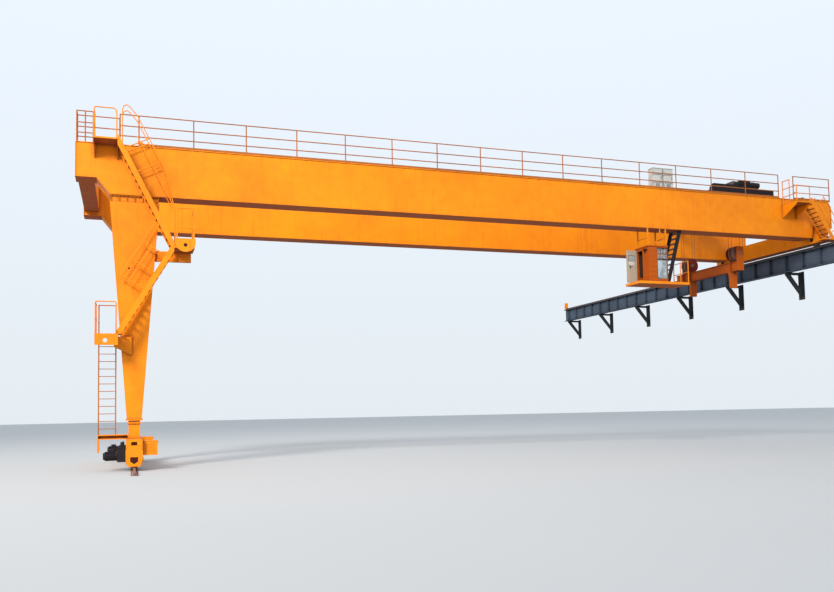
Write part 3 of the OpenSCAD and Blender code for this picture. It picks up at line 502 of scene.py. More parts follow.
class CranePaintSettings(bpy.types.PropertyGroup):
    crane: colour_setting("Crane paint", "Colour of girders, legs, stairs and rails", (0.86, 0.262, 0.004))
    crane_shade: colour_setting("Crane shade", "Deeper tone of the same paint in streaks and patches",
                                (0.58, 0.105, 0.004))
    runway: colour_setting("Runway paint", "Blue-grey paint of the runway beam", (0.085, 0.11, 0.15))
    machine: colour_setting("Machine paint", "Dark paint of motors, trolley and brackets",
                            (0.012, 0.01, 0.014))
    beige: colour_setting("Door paint", "Pale paint of the cab door", (0.47, 0.38, 0.28))
    glass: colour_setting("Glass tint", "Tint of the cab windows", (0.45, 0.55, 0.58))


class CraneFittingSettings(bpy.types.PropertyGroup):
    bolt_across: size_setting("Bolt size", "Width across the flats of the flange bolts", 0.046, 0.02, 0.08)
    seam_width: size_setting("Weld width", "Width of the weld beads on the plates", 0.012, 0.005, 0.03)
    clip_step: size_setting("Rail clip spacing", "Distance between pairs of rail clips", 0.8, 0.4, 2.0)
    bar_step: size_setting("Window bar spacing", "Distance between the bars on the cab window",
                           0.085, 0.04, 0.2)


class CraneStageSettings(bpy.types.PropertyGroup):
    floor: colour_setting("Floor", "Colour of the studio floor", (0.5, 0.5, 0.49))
    sky: size_setting("Sky light", "Strength of the even light from all round", 1.1, 0.0, 5.0, "NONE")
    key: size_setting("Key light", "Strength of the broad soft light on the left, behind the camera",
                      12500.0, 0.0, 100000.0, "NONE")
    lens: size_setting("Lens", "Focal length on a 36 mm wide frame", 36.795, 10.0, 200.0, "CAMERA")


# The finish of each CAD node. Wheels wear wheel_steel, and all others crane_paint.
NODE_FINISHES = {
    "ground_rail_steel": ("ground_rail",),
    "wall_rail_steel": ("runway_rail", "trolley_rails"),
    "runway_beam_paint": ("runway_beam",),
    "bracket_paint": ("runway_brackets",),
    "machine_paint": ("travel_motors", "cab_ladder", "trolley_frame", "hoist_machinery", "door_pivots"),
    "beige_paint": ("cab_door",),
    "box_paint": ("electric_boxes",),
    # The cab shell and the lifting beam wear darker copies of the crane paint: painted shade.
    "cab_paint": ("cab_shell",),
    "cab_glass": ("cab_glazing",),
    "wheel_steel": ("hoist_drum",),
    "sheave_steel": ("hook_sheaves",),
    "wire_rope": ("drum_ropes", "anchor_ropes"),
    "beam_paint": ("lifting_beam", "claws"),
    "railing_paint": ("near_girder_railing", "far_girder_railing", "left_end_railing", "leg_ladder"),
}


# Pieces

class CRANE_OT_finishes(bpy.types.Operator):
    """Makes the finishes and gives each CAD node its own"""
    bl_idname = "crane.finishes"
    bl_label = "Finishes"

    def execute(self, context):
        given = context.scene.crane_paint
        crane, shade, runway, machine, beige, glass = (
            tuple(getattr(given, key)) for key in CranePaintSettings.__annotations__)
        # Name, colour and shade; fading, streaks, dust and gloss; and some with painted shade below, in
        # corners, and its colour.
        for row in (
            ("crane_paint", crane, shade, 0.48, 0.45, 0.25, 0.4, 0.85, 1.0),
            ("railing_paint", (0.44, 0.12, 0.014), (0.2, 0.08, 0.035), 0.7, 0.3, 0.3, 0.6),
            # The cab and lifting beam paints are the crane paint darkened as painted shade under the
            # girders.
            ("cab_paint", scaled(crane, 0.52, 0.31, 0.5), scaled(shade, 0.6), 0.4, 0.3, 0.2, 0.5,
             0.85, 0.9),
            ("beam_paint", scaled(crane, 0.54, 0.34, 0.6), scaled(shade, 0.5), 0.5, 0.4, 0.2, 0.5,
             0.9, 1.0, (0.09, 0.018, 0.01)),
            # Painted shade for openings, recesses and holes.
            ("opening_dark", (0.055, 0.01, 0.008), (0.03, 0.008, 0.006), 0.5, 0.2, 0.1, 0.8),
            # The runway's painted shade colour is near black, for its shaded stiffener corners.
            ("runway_beam_paint", runway, scaled(runway, 0.5), 0.5, 0.5, 0.3, 0.85, 0.3, 1.0,
             (0.01, 0.01, 0.012)),
            ("machine_paint", machine, (0.022, 0.017, 0.018), 0.5, 0.3, 0.1, 0.45),
            ("bracket_paint", (0.014, 0.018, 0.021), (0.03, 0.026, 0.025), 0.5, 0.3, 0.2, 0.5),
            ("beige_paint", beige, scaled(beige, 0.7), 0.5, 0.5, 0.3, 0.42),
            ("box_paint", (0.55, 0.54, 0.5), (0.4, 0.38, 0.34), 0.4, 0.4, 0.3, 0.42),
            ("plate_white", (0.62, 0.6, 0.55), (0.42, 0.38, 0.32), 0.5, 0.3, 0.2, 0.35),
            # The sheave covers' dark red is painted shade over the sheaves.
            ("sheave_cover_paint", (0.2, 0.022, 0.01), (0.1, 0.014, 0.008), 0.5, 0.4, 0.2, 0.45),
            # The blind's dark brown is painted shade for the inside of the cab.
            ("blind_fabric", (0.055, 0.022, 0.012), (0.03, 0.012, 0.008), 0.5, 0.2, 0.0, 0.8),
        ):
            paint_material(*row)
        # Name, rust, steel, share of bright steel and, on one, the strength of its relief.
        for row in (
            ("ground_rail_steel", (0.3, 0.085, 0.03), (0.34, 0.26, 0.22), 0.45),
            ("wall_rail_steel", (0.16, 0.085, 0.06), (0.26, 0.2, 0.17), 0.3),
            ("wheel_steel", (0.1, 0.05, 0.03), (0.34, 0.32, 0.31), 0.2),
            ("bolt_steel", (0.14, 0.08, 0.05), (0.36, 0.35, 0.34), 0.4, 0.1),
            ("sheave_steel", (0.22, 0.07, 0.03), (0.25, 0.16, 0.12), 0.2),
        ):
            steel_material(*row)
        rope_material()
        glass_material(glass)
        rubber_material()

        chosen = {node: finish for finish, nodes in NODE_FINISHES.items() for node in nodes}
        for name, node in NODES.items():
            finish = chosen.get(name, "wheel_steel" if "wheel" in name else "crane_paint")
            if not node.material_slots:
                node.data.materials.append(None)
            for place in node.material_slots:
                place.link = "OBJECT"
                place.material = bpy.data.materials[finish]
        return {"FINISHED"}


class CRANE_OT_stage(bpy.types.Operator):
    """Lays the floor and sets the lights and the camera"""
    bl_idname = "crane.stage"
    bl_label = "Stage"

    def execute(self, context):
        scene = context.scene
        given = scene.crane_stage
        bm = bmesh.new()
        centre = at(15.0, 10.0, 0.0)
        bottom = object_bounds()[0][2]
        bmesh.ops.create_grid(bm, x_segments=1, y_segments=1, size=FLOOR_HALF,
                              matrix=Matrix.Translation((centre.x, centre.y, bottom - 0.002)))
        floor_material(tuple(given.floor))
        floor = new_object("floor", bm, "studio_floor")
        floor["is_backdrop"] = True

        world = bpy.data.worlds.new("soft_sky")
        world.use_nodes = True
        scene.world = world
        g = Graph(world.node_tree)
        looking = g.node("ShaderNodeTexCoord").outputs["Generated"]
        height = g.node("ShaderNodeSeparateXYZ", {"Vector": looking}).outputs[2]
        sky = g.mix(g.spread(height, 0.0, 0.5), (0.72, 0.77, 0.81, 1), (0.78, 0.86, 0.96, 1))
        g.fill(world.node_tree.nodes["Background"], {"Color": sky, "Strength": given.sky})

        key = bpy.data.lights.new("key", "AREA")
        key.energy = given.key
        key.shape = "DISK"
        key.size = LAMP_WIDTH
        key.spread = math.radians(LAMP_SPREAD)
        key.color = (1.0, 0.975, 0.94)
        lamp = bpy.data.objects.new("key", key)
        lamp.location = at(*LAMP_PLACE)
        lamp.rotation_mode = "QUATERNION"
        lamp.rotation_quaternion = (at(*LAMP_PLACE) - at(*LAMP_AIM)).to_track_quat("Z", "Y")
        scene.collection.objects.link(lamp)

        data = bpy.data.cameras.new("camera")
        data.sensor_width = 36.0
        data.lens = given.lens
        data.shift_x, data.shift_y = CAMERA_SHIFT
        data.clip_end = 2000.0
        camera = bpy.data.objects.new("camera", data)
        scene.collection.objects.link(camera)
        yaw, pitch, roll = CAMERA_YAW, CAMERA_PITCH, CAMERA_ROLL
        ahead = math.cos(pitch)
        forward = Vector((math.sin(yaw) * ahead, math.cos(yaw) * ahead, math.sin(pitch)))
        level = Vector((math.cos(yaw), -math.sin(yaw), 0))
        upright = level.cross(forward)
        right = level * math.cos(roll) + upright * math.sin(roll)
        top = upright * math.cos(roll) - level * math.sin(roll)
        turn = Matrix((right, top, -forward)).transposed()
        camera.matrix_world = Matrix.Translation(at(*CAMERA_PLACE)) @ turn.to_4x4()
        scene.camera = camera
        scene.view_settings.view_transform = "Standard"
        return {"FINISHED"}


class CRANE_OT_weld_seams(bpy.types.Operator):
    """Weld beads along the girders, the legs and the end carriages"""
    bl_idname = "crane.weld_seams"
    bl_label = "Weld seams"

    def execute(self, context):
        r = context.scene.crane_fittings.seam_width / 2
        fine = r * 0.7
        bm = bmesh.new()
        for node in ("near_girder", "far_girder"):
            (x0, y0, z0), (x1, y1, z1) = local_box(node)
            for y in (y0 + 0.03, y1 - 0.03):
                add_rod(bm, (x0 + 0.01, y, z1 - 0.024), (x1 - 0.2, y, z1 - 0.024), r, 6)
                add_rod(bm, (-0.9, y, z0 + 0.024), (32.4, y, z0 + 0.024), r, 6)
                for x in PLATE_JOINTS:
                    add_rod(bm, (x, y, z0 + 0.03), (x, y, z1 - 0.03), fine, 6)
        for node in ("near_leg", "far_leg"):
            yc = middle(node).y
            for sx, sy in product(BOTH, BOTH):
                y = yc + sy * LEG_FOOT_HALF[1]
                add_rod(bm, (sx * LEG_FOOT_HALF[0], y, LEG_FOOT + 0.002),
                        (sx * LEG_HEAD_HALF[0], yc + sy * LEG_HEAD_HALF[1], LEG_HEAD), r, 6)
                add_rod(bm, (sx * 0.2, y, 1.05), (sx * 0.2, y, 1.74), r, 6)
            for z, s in product((4.2, 7.1), BOTH):
                x, y = leg_half(z)
                add_rod(bm, (-x, yc + s * y, z), (x, yc + s * y, z), fine, 6)
                add_rod(bm, (s * x, yc - y, z), (s * x, yc + y, z), fine, 6)
        for node, s in product(("ground_carriage", "wall_carriage"), BOTH):
            low, high = local_box(node)
            x = (low.x + high.x) / 2 + s * CARRIAGE_HALF
            add_rod(bm, (x, low.y + 0.05, high.z), (x, high.y - 0.05, high.z), r, 6)
        finish_piece("weld_seams", bm, "crane_paint", "crane")
        return {"FINISHED"}


class CRANE_OT_flange_bolts(bpy.types.Operator):
    """Bolts through the leg flanges, the saddles, the tie and the wall plates"""
    bl_idname = "crane.flange_bolts"
    bl_label = "Flange bolts"

    def execute(self, context):
        size = context.scene.crane_fittings.bolt_across
        bm = bmesh.new()
        for node, s in product(("near_leg", "far_leg"), BOTH):
            yc = middle(node).y
            for x in spaced(-0.24, 0.24, 4):
                add_bolt(bm, (x, yc + s * 0.262, LEG_FOOT), UP, size * 0.8, 0.018)
                add_bolt(bm, (x * 0.85, yc + s * 0.262, LEG_FOOT - 0.15), DOWN, size * 0.8, 0.018)
            for y in spaced(yc - 0.18, yc + 0.18, 3):
                add_bolt(bm, (s * 0.287, y, LEG_FOOT), UP, size * 0.7, 0.018)
                add_bolt(bm, (s * 0.226, y, LEG_FOOT - 0.15), DOWN, size * 0.7, 0.018)
            for x in spaced(-0.715, 0.715, 5):
                add_bolt(bm, (x, yc + s * 0.37, LEG_HEAD + 0.036), UP, size, 0.02)
                add_bolt(bm, (x, yc + s * 0.37, LEG_HEAD + 0.264), DOWN, size, 0.02)
        low, high = local_box("left_end_tie")
        for y, z in product((low.y + 0.05, high.y - 0.05), spaced(low.z + 0.12, low.z + 0.97, 5)):
            add_bolt(bm, (low.x + 0.04, y, z), LEFT, size)
        finish_piece("flange_bolts", bm, "crane_paint", "crane")

        bm = bmesh.new()
        low, high = local_box("runway_brackets")
        for y in spaced(low.y + 0.21, high.y - 0.21, 6):
            for dy, dz in product((-0.14, 0.14), (-0.65, 0.65)):
                add_bolt(bm, (high.x - 0.03, y + dy, BRACKET_BOLTS_Z + dz), LEFT, size)
            for dy, dx in product((-0.05, 0.05), (0.06, 0.26)):
                add_bolt(bm, (low.x + dx, y + dy, high.z - 0.18), DOWN, size * 0.7)
        finish_piece("bracket_bolts", bm, "bolt_steel", "track")
        return {"FINISHED"}


def rail_clip(bm, x, y, z, sx, sy, half=0.03):
    """One clip and its bolt over a rail foot, reaching away from the rail along (sx, sy)."""
    wide_x, wide_y = abs(sy) * half, abs(sx) * half
    add_block(bm, (x - sx * 0.012 - wide_x, y - sy * 0.012 - wide_y, z),
              (x + sx * 0.075 + wide_x, y + sy * 0.075 + wide_y, z + 0.022), 0.004)
    add_small_bolt(bm, (x + sx * 0.045, y + sy * 0.045, z + 0.022), UP, 0.03, 0.016)


class CRANE_OT_rail_clips(bpy.types.Operator):
    """Clips and bolts that hold the three sets of rails"""
    bl_idname = "crane.rail_clips"
    bl_label = "Rail clips"

    def execute(self, context):
        step = context.scene.crane_fittings.clip_step
        for node, prefix, end in (("ground_rail", "ground_rail", 0.2), ("runway_rail", "wall_rail", 0.3)):
            bm = bmesh.new()
            low, high = local_box(node)
            xc, reach = (low.x + high.x) / 2, (high.x - low.x) / 2 - 0.006
            count = int((high.y - low.y) / step)
            for y, s in product(spaced(low.y + end, high.y - end, count), BOTH):
                rail_clip(bm, xc + s * reach, y, low.z, s, 0)
            finish_piece(prefix + "_clips", bm, prefix + "_steel", "track")

        bm = bmesh.new()
        low, high = local_box("trolley_rails")
        xs = spaced(low.x + 0.15, high.x - 0.15, int((high.x - low.x) / (step * 0.75)))
        for x, y, s in product(xs, (low.y + 0.051, high.y - 0.051), BOTH):
            rail_clip(bm, x, y + s * 0.046, low.z, 0, s, 0.025)
        finish_piece("trolley_rail_clips", bm, "crane_paint", "crane")
        return {"FINISHED"}


class CRANE_OT_carriage_fittings(bpy.types.Operator):
    """Axle caps, inspection covers, dark plates painted as shade in recesses, and buffers of the end
    carriages
    """
    bl_idname = "crane.carriage_fittings"
    bl_label = "Carriage fittings"

    def execute(self, context):
        size = context.scene.crane_fittings.bolt_across
        caps, covers, recess, buffers, plates = (bmesh.new() for _ in range(5))
        cap = [(0, 0.042), (0.035, 0.042), (0.045, 0.034), (0.075, 0.03), (0.082, 0.022), (0.105, 0.018),
               (0.105, 0), (0, 0)]
        for node, s in (("ground_wheel_near", 1), ("ground_wheel_far", 1), ("wall_wheel_near", -1),
                        ("wall_wheel_near", 1), ("wall_wheel_far", -1), ("wall_wheel_far", 1)):
            c = middle(node)
            face = c.x + s * CARRIAGE_HALF
            add_lathe(caps, (face, c.y, c.z), (s, 0, 0), cap, 28)
            for dy, dz in round_points(6, 0.09):
                add_small_bolt(caps, (face + s * 0.018, c.y + dy, c.z + dz), (s, 0, 0))
        for node, y, s in product(("ground_carriage", "wall_carriage"), (1.35, 6.03), BOTH):
            c = middle(node)
            face, zc = c.x + s * CARRIAGE_HALF, c.z + 0.1
            add_block(covers, (face, y - 0.22, zc - 0.16), (face + s * 0.01, y + 0.22, zc + 0.16), 0.004)
            for dy, dz in product((-0.18, 0.0, 0.18), (-0.13, 0.13)):
                add_small_bolt(covers, (face + s * 0.01, y + dy, zc + dz), (s, 0, 0))

        # Painted shade: dark plates on the carriage ends stand in for shaded recesses.
        outline = ((-0.138, 0.388), (-0.138, 0.232), (0, 0.133), (0.138, 0.232), (0.138, 0.388))
        pad = [(0, 0), (0.075, 0), (0.08, 0.02), (0.072, 0.06), (0.075, 0.09), (0.055, 0.11),
               (0, 0.115)]
        for y, s in CARRIAGE_ENDS:
            for dx, z in product((-0.2, 0.2), (10.25, 10.65)):
                add_bolt(covers, (WALL_RAIL_X + dx, y, z), (0, s, 0), size)
            face = recess.faces.new([recess.verts.new(at(x, y, z)) for x, z in outline])
            made = bmesh.ops.extrude_face_region(recess, geom=[face])
            outer = [v for v in made["geom"] if isinstance(v, bmesh.types.BMVert)]
            bmesh.ops.translate(recess, vec=(0, s * 0.006, 0), verts=outer)
            add_lathe(buffers, (WALL_RAIL_X, y + s * 0.02, 10.3), (0, s, 0), pad, 24)
            add_block(plates, (WALL_RAIL_X - 0.11, y, 10.19),
                      (WALL_RAIL_X + 0.11, y + s * 0.02, 10.41), 0.004)
        finish_piece("carriage_recesses", recess, "opening_dark", "crane")
        finish_piece("axle_caps", caps, "machine_paint", "crane")
        finish_piece("inspection_covers", covers, "crane_paint", "crane")
        finish_piece("wall_buffers", buffers, "black_rubber", "crane")
        finish_piece("buffer_plates", plates, "crane_paint", "crane")
        return {"FINISHED"}


class CRANE_OT_drive_fittings(bpy.types.Operator):
    """Ribs, fan cowls and terminal boxes on the travel drives, lids on their covers"""
    bl_idname = "crane.drive_fittings"
    bl_label = "Travel drives"

    def execute(self, context):
        bm, lids = bmesh.new(), bmesh.new()
        plug = [(0.03, 0), (0.03, 0.025), (0.018, 0.04), (0, 0.042)]
        for y in DRIVE_YS:
            fin_ring(bm, (-1.02, y, DRIVE_Z), (-0.66, y, DRIVE_Z), 0.148, 0.172, 28)
            cowl(bm, (-1.096, y, DRIVE_Z), LEFT, 0.128, 0.05)
            add_rod(bm, (-0.655, y, DRIVE_Z), (-0.6, y, DRIVE_Z), 0.175, 28)
            add_block(bm, (-0.945, y - 0.085, 0.65), (-0.725, y + 0.085, 0.672), 0.005)
            add_rod(bm, (-0.84, y - 0.09, 0.6), (-0.84, y - 0.125, 0.6), 0.014, 10)
            for dy, z in product((-0.19, 0.19), (0.25, 0.36, 0.48, 0.6)):
                add_small_bolt(bm, (-0.59, y + dy, z), LEFT, 0.024, 0.012)
            add_block(bm, (-0.6, y - 0.222, 0.4), (-0.29, y + 0.222, 0.425), 0.004)
            add_lathe(bm, (-0.44, y, 0.76), UP, plug, 14)
            near, far = y - 0.26, y + 0.26
            add_block(lids, (0.3, near - 0.012, 0.955), (0.852, far + 0.012, 0.985), 0.006)
            for z in spaced(0.56, 0.84, 4):
                add_block(lids, (0.4, near - 0.01, z), (0.74, near + 0.002, z + 0.03), 0.004)
            for dy in (-0.14, 0.14):
                add_block(lids, (0.838, y + dy - 0.03, 0.86), (0.856, y + dy + 0.03, 0.95), 0.004)
        finish_piece("drive_fittings", bm, "machine_paint", "crane")
        finish_piece("cover_lids", lids, "crane_paint", "crane")
        return {"FINISHED"}


class CRANE_OT_cab_fittings(bpy.types.Operator):
    """Window frames and bars, wall ribs, roof rim, door furniture and the desk inside"""
    bl_idname = "crane.cab_fittings"
    bl_label = "Cab fittings"

    def execute(self, context):
        self.outside(context.scene.crane_fittings.bar_step)
        self.inside()
        self.door()
        return {"FINISHED"}

    def outside(self, step):
        """Window frames, bars over the upper near window, ribs and roof rim."""
        (x0, y0, z0), (x1, y1, z1) = local_box("cab_shell")
        left, right = x0 + 0.46 * (x1 - x0), x1 - 0.04
        foot, top = z0 + 1.08, z1 - 0.12
        seals, bars, ribs = (bmesh.new() for _ in range(3))
        for a, b in ((z0 + 0.15, z0 + 1.03), (foot, top)):
            frame_ring(seals, (left, y0, a), (right, y0, b), "Y", 0.018, -0.006)
        frame_ring(seals, (x0 + 0.13, y1, z0 + 0.35), (x1 - 0.09, y1, top), "Y", 0.022, 0.008)
        frame_ring(seals, (x1, y0 + 0.12, z0 + 0.35), (x1, y1 - 0.12, top), "X", 0.022, 0.008)
        finish_piece("window_seals", seals, "black_rubber", "crane")

        for x in spaced(left, right, max(2, round((right - left) / step)))[1:-1]:
            add_rod(bars, (x, y0 - 0.014, foot - 0.02), (x, y0 - 0.014, top + 0.02), 0.008, 8)
        for z in (foot - 0.012, (foot + top) / 2, top + 0.012):
            add_block(bars, (left - 0.01, y0 - 0.022, z - 0.008),
                      (right + 0.01, y0 - 0.004, z + 0.008), 0.002)
        finish_piece("window_bars", bars, "machine_paint", "crane")

        for z in spaced(z0 + 0.22, z0 + 1.445, 5):
            add_block(ribs, (x0 + 0.02, y0 - 0.009, z), (left - 0.03, y0 + 0.002, z + 0.022), 0.003)
        for y in (y0 + 0.1, y0 + 0.22, y0 + 0.34):
            add_block(ribs, (x0 - 0.009, y, z0 + 0.04), (x0 + 0.002, y + 0.018, z1 - 0.06), 0.003)
        for (a, b), (c, d) in strips(x0, y0, x1, y1, 0.03):
            add_block(ribs, (a, b, z1 - 0.045), (c, d, z1 + 0.012), 0.005)
        finish_piece("cab_ribs", ribs, "cab_paint", "crane")

    def inside(self):
        """The desk with its levers, a dark blind behind the far window as painted shade inside the cab, and
        the lamp on the wall.
        """
        (x0, y0, z0), (x1, y1, z1) = local_box("cab_shell")
        desk, blind, lamp = (bmesh.new() for _ in range(3))
        add_block(desk, (x0 + 0.45, y0 + 0.62, z0 + 0.03), (x1 - 0.12, y0 + 0.92, z0 + 0.68), 0.015, 2)
        add_block(desk, (x0 + 0.43, y0 + 0.56, z0 + 0.68), (x1 - 0.1, y0 + 0.94, z0 + 0.72), 0.01, 2)
        knob = [(0, -0.025), (0.02, -0.018), (0.026, 0), (0.02, 0.018), (0, 0.025)]
        for x in (x0 + 0.53, x1 - 0.22):
            add_rod(desk, (x, y0 + 0.74, z0 + 0.72), (x, y0 + 0.71, z0 + 0.9), 0.012)
            add_lathe(desk, (x, y0 + 0.71, z0 + 0.9), UP, knob, 14)
        finish_piece("control_desk", desk, "machine_paint", "crane")

        y = y1 - 0.065
        for x in spaced(x0 + 0.14, x1 - 0.1, 34)[:-1]:
            add_rod(blind, (x, y, z0 + 0.34), (x, y, z1 - 0.12), 0.016, 8)
        add_rod(blind, (x0 + 0.1, y, z1 - 0.115), (x1 - 0.07, y, z1 - 0.115), 0.01, 10)
        finish_piece("cab_blind", blind, "blind_fabric", "crane")

        y = y0 + 0.16
        hood = [(0, -0.075), (0.035, -0.07), (0.055, -0.04), (0.072, 0.02), (0.08, 0.045),
                (0.07, 0.045), (0.062, 0.03), (0, 0.026)]
        add_lathe(lamp, (x0 - 0.085, y, z1 - 0.2), (-1, 0, -0.25), hood, 24)
        add_rod(lamp, (x0 - 0.02, y, z1 - 0.185), (x0 + 0.004, y, z1 - 0.185), 0.03, 16)
        finish_piece("cab_lamp", lamp, "machine_paint", "crane")

    def door(self):
        """The door's pane, bare plate, handles and rails."""
        (x0, y0, z0), (x1, y1, z1) = local_box("cab_door")
        pane, plate, furniture, rails = (bmesh.new() for _ in range(4))
        left, right = x0 + 0.095, x1 - 0.125
        foot, split, top = z1 - 0.7, z1 - 0.5, z1 - 0.25
        add_block(pane, (left + 0.004, y0 + 0.006, split + 0.012),
                  (right - 0.004, y0 + 0.012, top - 0.004), 0.001)
        add_block(pane, (left, y1 - 0.001, split), (right, y1 + 0.003, top), 0.001)
        add_block(plate, (left + 0.006, y0 + 0.002, foot + 0.006),
                  (right - 0.006, y0 + 0.013, split - 0.012), 0.003)
        grip, z = x0 + 0.175, z0 + 0.77
        for y, s in ((y0, -1), (y1, 1)):
            seat, bar = y + s * 0.01, y + s * 0.043
            frame_ring(furniture, (left, y, split), (right, y, top), "Y", 0.016, s * 0.005)
            add_block(furniture, (grip - 0.02, y - s * 0.001, z - 0.11),
                      (grip + 0.02, seat, z + 0.07), 0.004)
            add_rod(furniture, (grip, seat, z), (grip, y + s * 0.045, z), 0.01)
            add_rod(furniture, (grip - 0.01, bar, z), (grip + 0.11, bar, z - 0.005), 0.009)
        for z in (z0 + 0.04, z1 - 0.08):
            add_block(rails, (x0 + 0.02, y0 - 0.006, z), (x1 - 0.03, y0 + 0.001, z + 0.04), 0.003)
        finish_piece("door_pane", pane, "cab_glass", "cab_door")
        finish_piece("door_plate", plate, "plate_white", "cab_door")
        finish_piece("door_furniture", furniture, "black_rubber", "cab_door")
        finish_piece("door_rails", rails, "beige_paint", "cab_door")


class CRANE_OT_box_fittings(bpy.types.Operator):
    """Doors, locks, vents and rain hoods on the electric boxes"""
    bl_idname = "crane.box_fittings"
    bl_label = "Electric boxes"

    def execute(self, context):
        (x0, y0, z0), (x1, y1, z1) = local_box("electric_boxes")
        doors, locks = bmesh.new(), bmesh.new()
        width = 0.52
        for a in (x0, x1 - width):
            b = a + width
            for y, s in ((y0, -1), (y1, 1)):
                add_block(doors, (a + 0.025, y, z0 + 0.06), (b - 0.025, y + s * 0.012, z1 - 0.05), 0.005)
            add_block(doors, (a - 0.02, y0 - 0.03, z1 - 0.006), (b + 0.02, y1 + 0.03, z1 + 0.022), 0.006)
            for z in spaced(z0 + 0.14, z0 + 0.245, 3):
                add_block(locks, (a + 0.14, y0 - 0.019, z), (b - 0.14, y0 - 0.01, z + 0.014), 0.002)
            add_block(locks, (b - 0.085, y0 - 0.024, z0 + 0.48), (b - 0.055, y0 - 0.01, z0 + 0.62), 0.004)
            for z in (z0 + 0.16, z1 - 0.18):
                add_rod(locks, (a + 0.022, y0 - 0.014, z), (a + 0.022, y0 - 0.014, z + 0.07), 0.009, 10)
        finish_piece("box_doors", doors, "box_paint", "crane")
        finish_piece("box_locks", locks, "black_rubber", "crane")
        return {"FINISHED"}


class CRANE_OT_rope_falls(bpy.types.Operator):
    """Rope falls from the drum and the anchors down to the sheaves, in place of the CAD ropes, and their
    bends under the sheaves
    """
    bl_idname = "crane.rope_falls"
    bl_label = "Rope falls"

    def execute(self, context):
        axle_z = middle("hook_sheaves").z
        xs = []
        for node, name in (("drum_ropes", "drum_falls"), ("anchor_ropes", "anchor_falls")):
            low, high = local_box(node)
            x, wire = (low.x + high.x) / 2, (high.x - low.x) / 2
            first, last = low.y + wire, high.y - wire
            ys = (first, first + 0.22, last - 0.22, last)
            bm = bmesh.new()
            for y in ys:
                add_rod(bm, (x, y, axle_z), (x, y, high.z), wire)
            falls = finish_piece(name, bm, "wire_rope", None)
            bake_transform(falls)
            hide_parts(node)
            xs.append(x)
        bends = bmesh.new()
        for y in ys:
            swept_ring(bends, (xs[0], y, axle_z), ((xs[0] + xs[1]) / 2, y, axle_z), wire, 10,
                       angle=-math.pi, steps=24)
        finish_piece("sheave_bends", bends, "wire_rope", "load_beam")
        return {"FINISHED"}


class CRANE_OT_hoist_fittings(bpy.types.Operator):
    """Rope turns and end rims on the drum, and the hoist's motor ribs and gear case flange"""
    bl_idname = "crane.hoist_fittings"
    bl_label = "Hoist fittings"

    def execute(self, context):
        low, high = local_box("hoist_drum")
        c, drum_r = (low + high) / 2, (high.x - low.x) / 2
        ropes = local_box("drum_ropes")
        wire = 0.009
        first, last = ropes[0].y + wire, ropes[1].y - wire
        turns, rims, bm = (bmesh.new() for _ in range(3))
        for y, s in ((first + 0.02, 1), (first + 0.26, 1), (last - 0.26, -1), (last - 0.02, -1)):
            rope_turns(turns, (c.x, y, c.z), drum_r + wire, wire, 9, s * 0.019)
        finish_piece("rope_turns", turns, "wire_rope", "drum")

        rim = [(drum_r - 0.02, -0.012), (drum_r + 0.05, -0.012), (drum_r + 0.055, 0),
               (drum_r + 0.05, 0.012), (drum_r - 0.02, 0.012)]
        for y in (c.y - 0.35, c.y + 0.35):
            add_lathe(rims, (c.x, y, c.z), (0, 1, 0), rim, 40)
        finish_piece("drum_rims", rims, "wheel_steel", "drum")

        near = local_box("hoist_machinery")[0].y
        y = near + 0.26
        fin_ring(bm, (29.47, y, HOIST_Z), (29.86, y, HOIST_Z), 0.148, 0.166, 26)
        cowl(bm, (29.955, y, HOIST_Z), (1, 0, 0), 0.145, 0.06)
        add_block(bm, (29.55, y - 0.09, HOIST_Z + 0.14), (29.75, y + 0.09, HOIST_Z + 0.176), 0.006)
        # The flange round the gear case leaves room for the drum's shaft on its far side.
        x0, x1, y0, y1 = 28.74, 29.37, near + 0.005, near + 0.49
        flange = (((x0 - 0.02, y0 - 0.015), (x1 + 0.012, y0 + 0.002)),
                  ((x0 - 0.02, y0), (x0 + 0.002, y1)), ((x1 - 0.002, y0), (x1 + 0.012, y1)),
                  ((x0 - 0.02, y1 - 0.002), (c.x - 0.1, y1 + 0.012)),
                  ((c.x + 0.1, y1 - 0.002), (x1 + 0.012, y1 + 0.012)))
        for a, b in flange:
            add_block(bm, (*a, HOIST_Z - 0.025), (*b, HOIST_Z), 0.003)
        for x in spaced(x0 + 0.05, x0 + 0.55, 5):
            add_small_bolt(bm, (x, y0 - 0.006, HOIST_Z), UP, 0.024, 0.012)
            add_block(bm, (x + 0.035, y0 - 0.008, HOIST_Z - 0.18),
                      (x + 0.047, y0 + 0.004, HOIST_Z - 0.025), 0.003)
        finish_piece("hoist_fittings", bm, "machine_paint", "trolley")
        return {"FINISHED"}


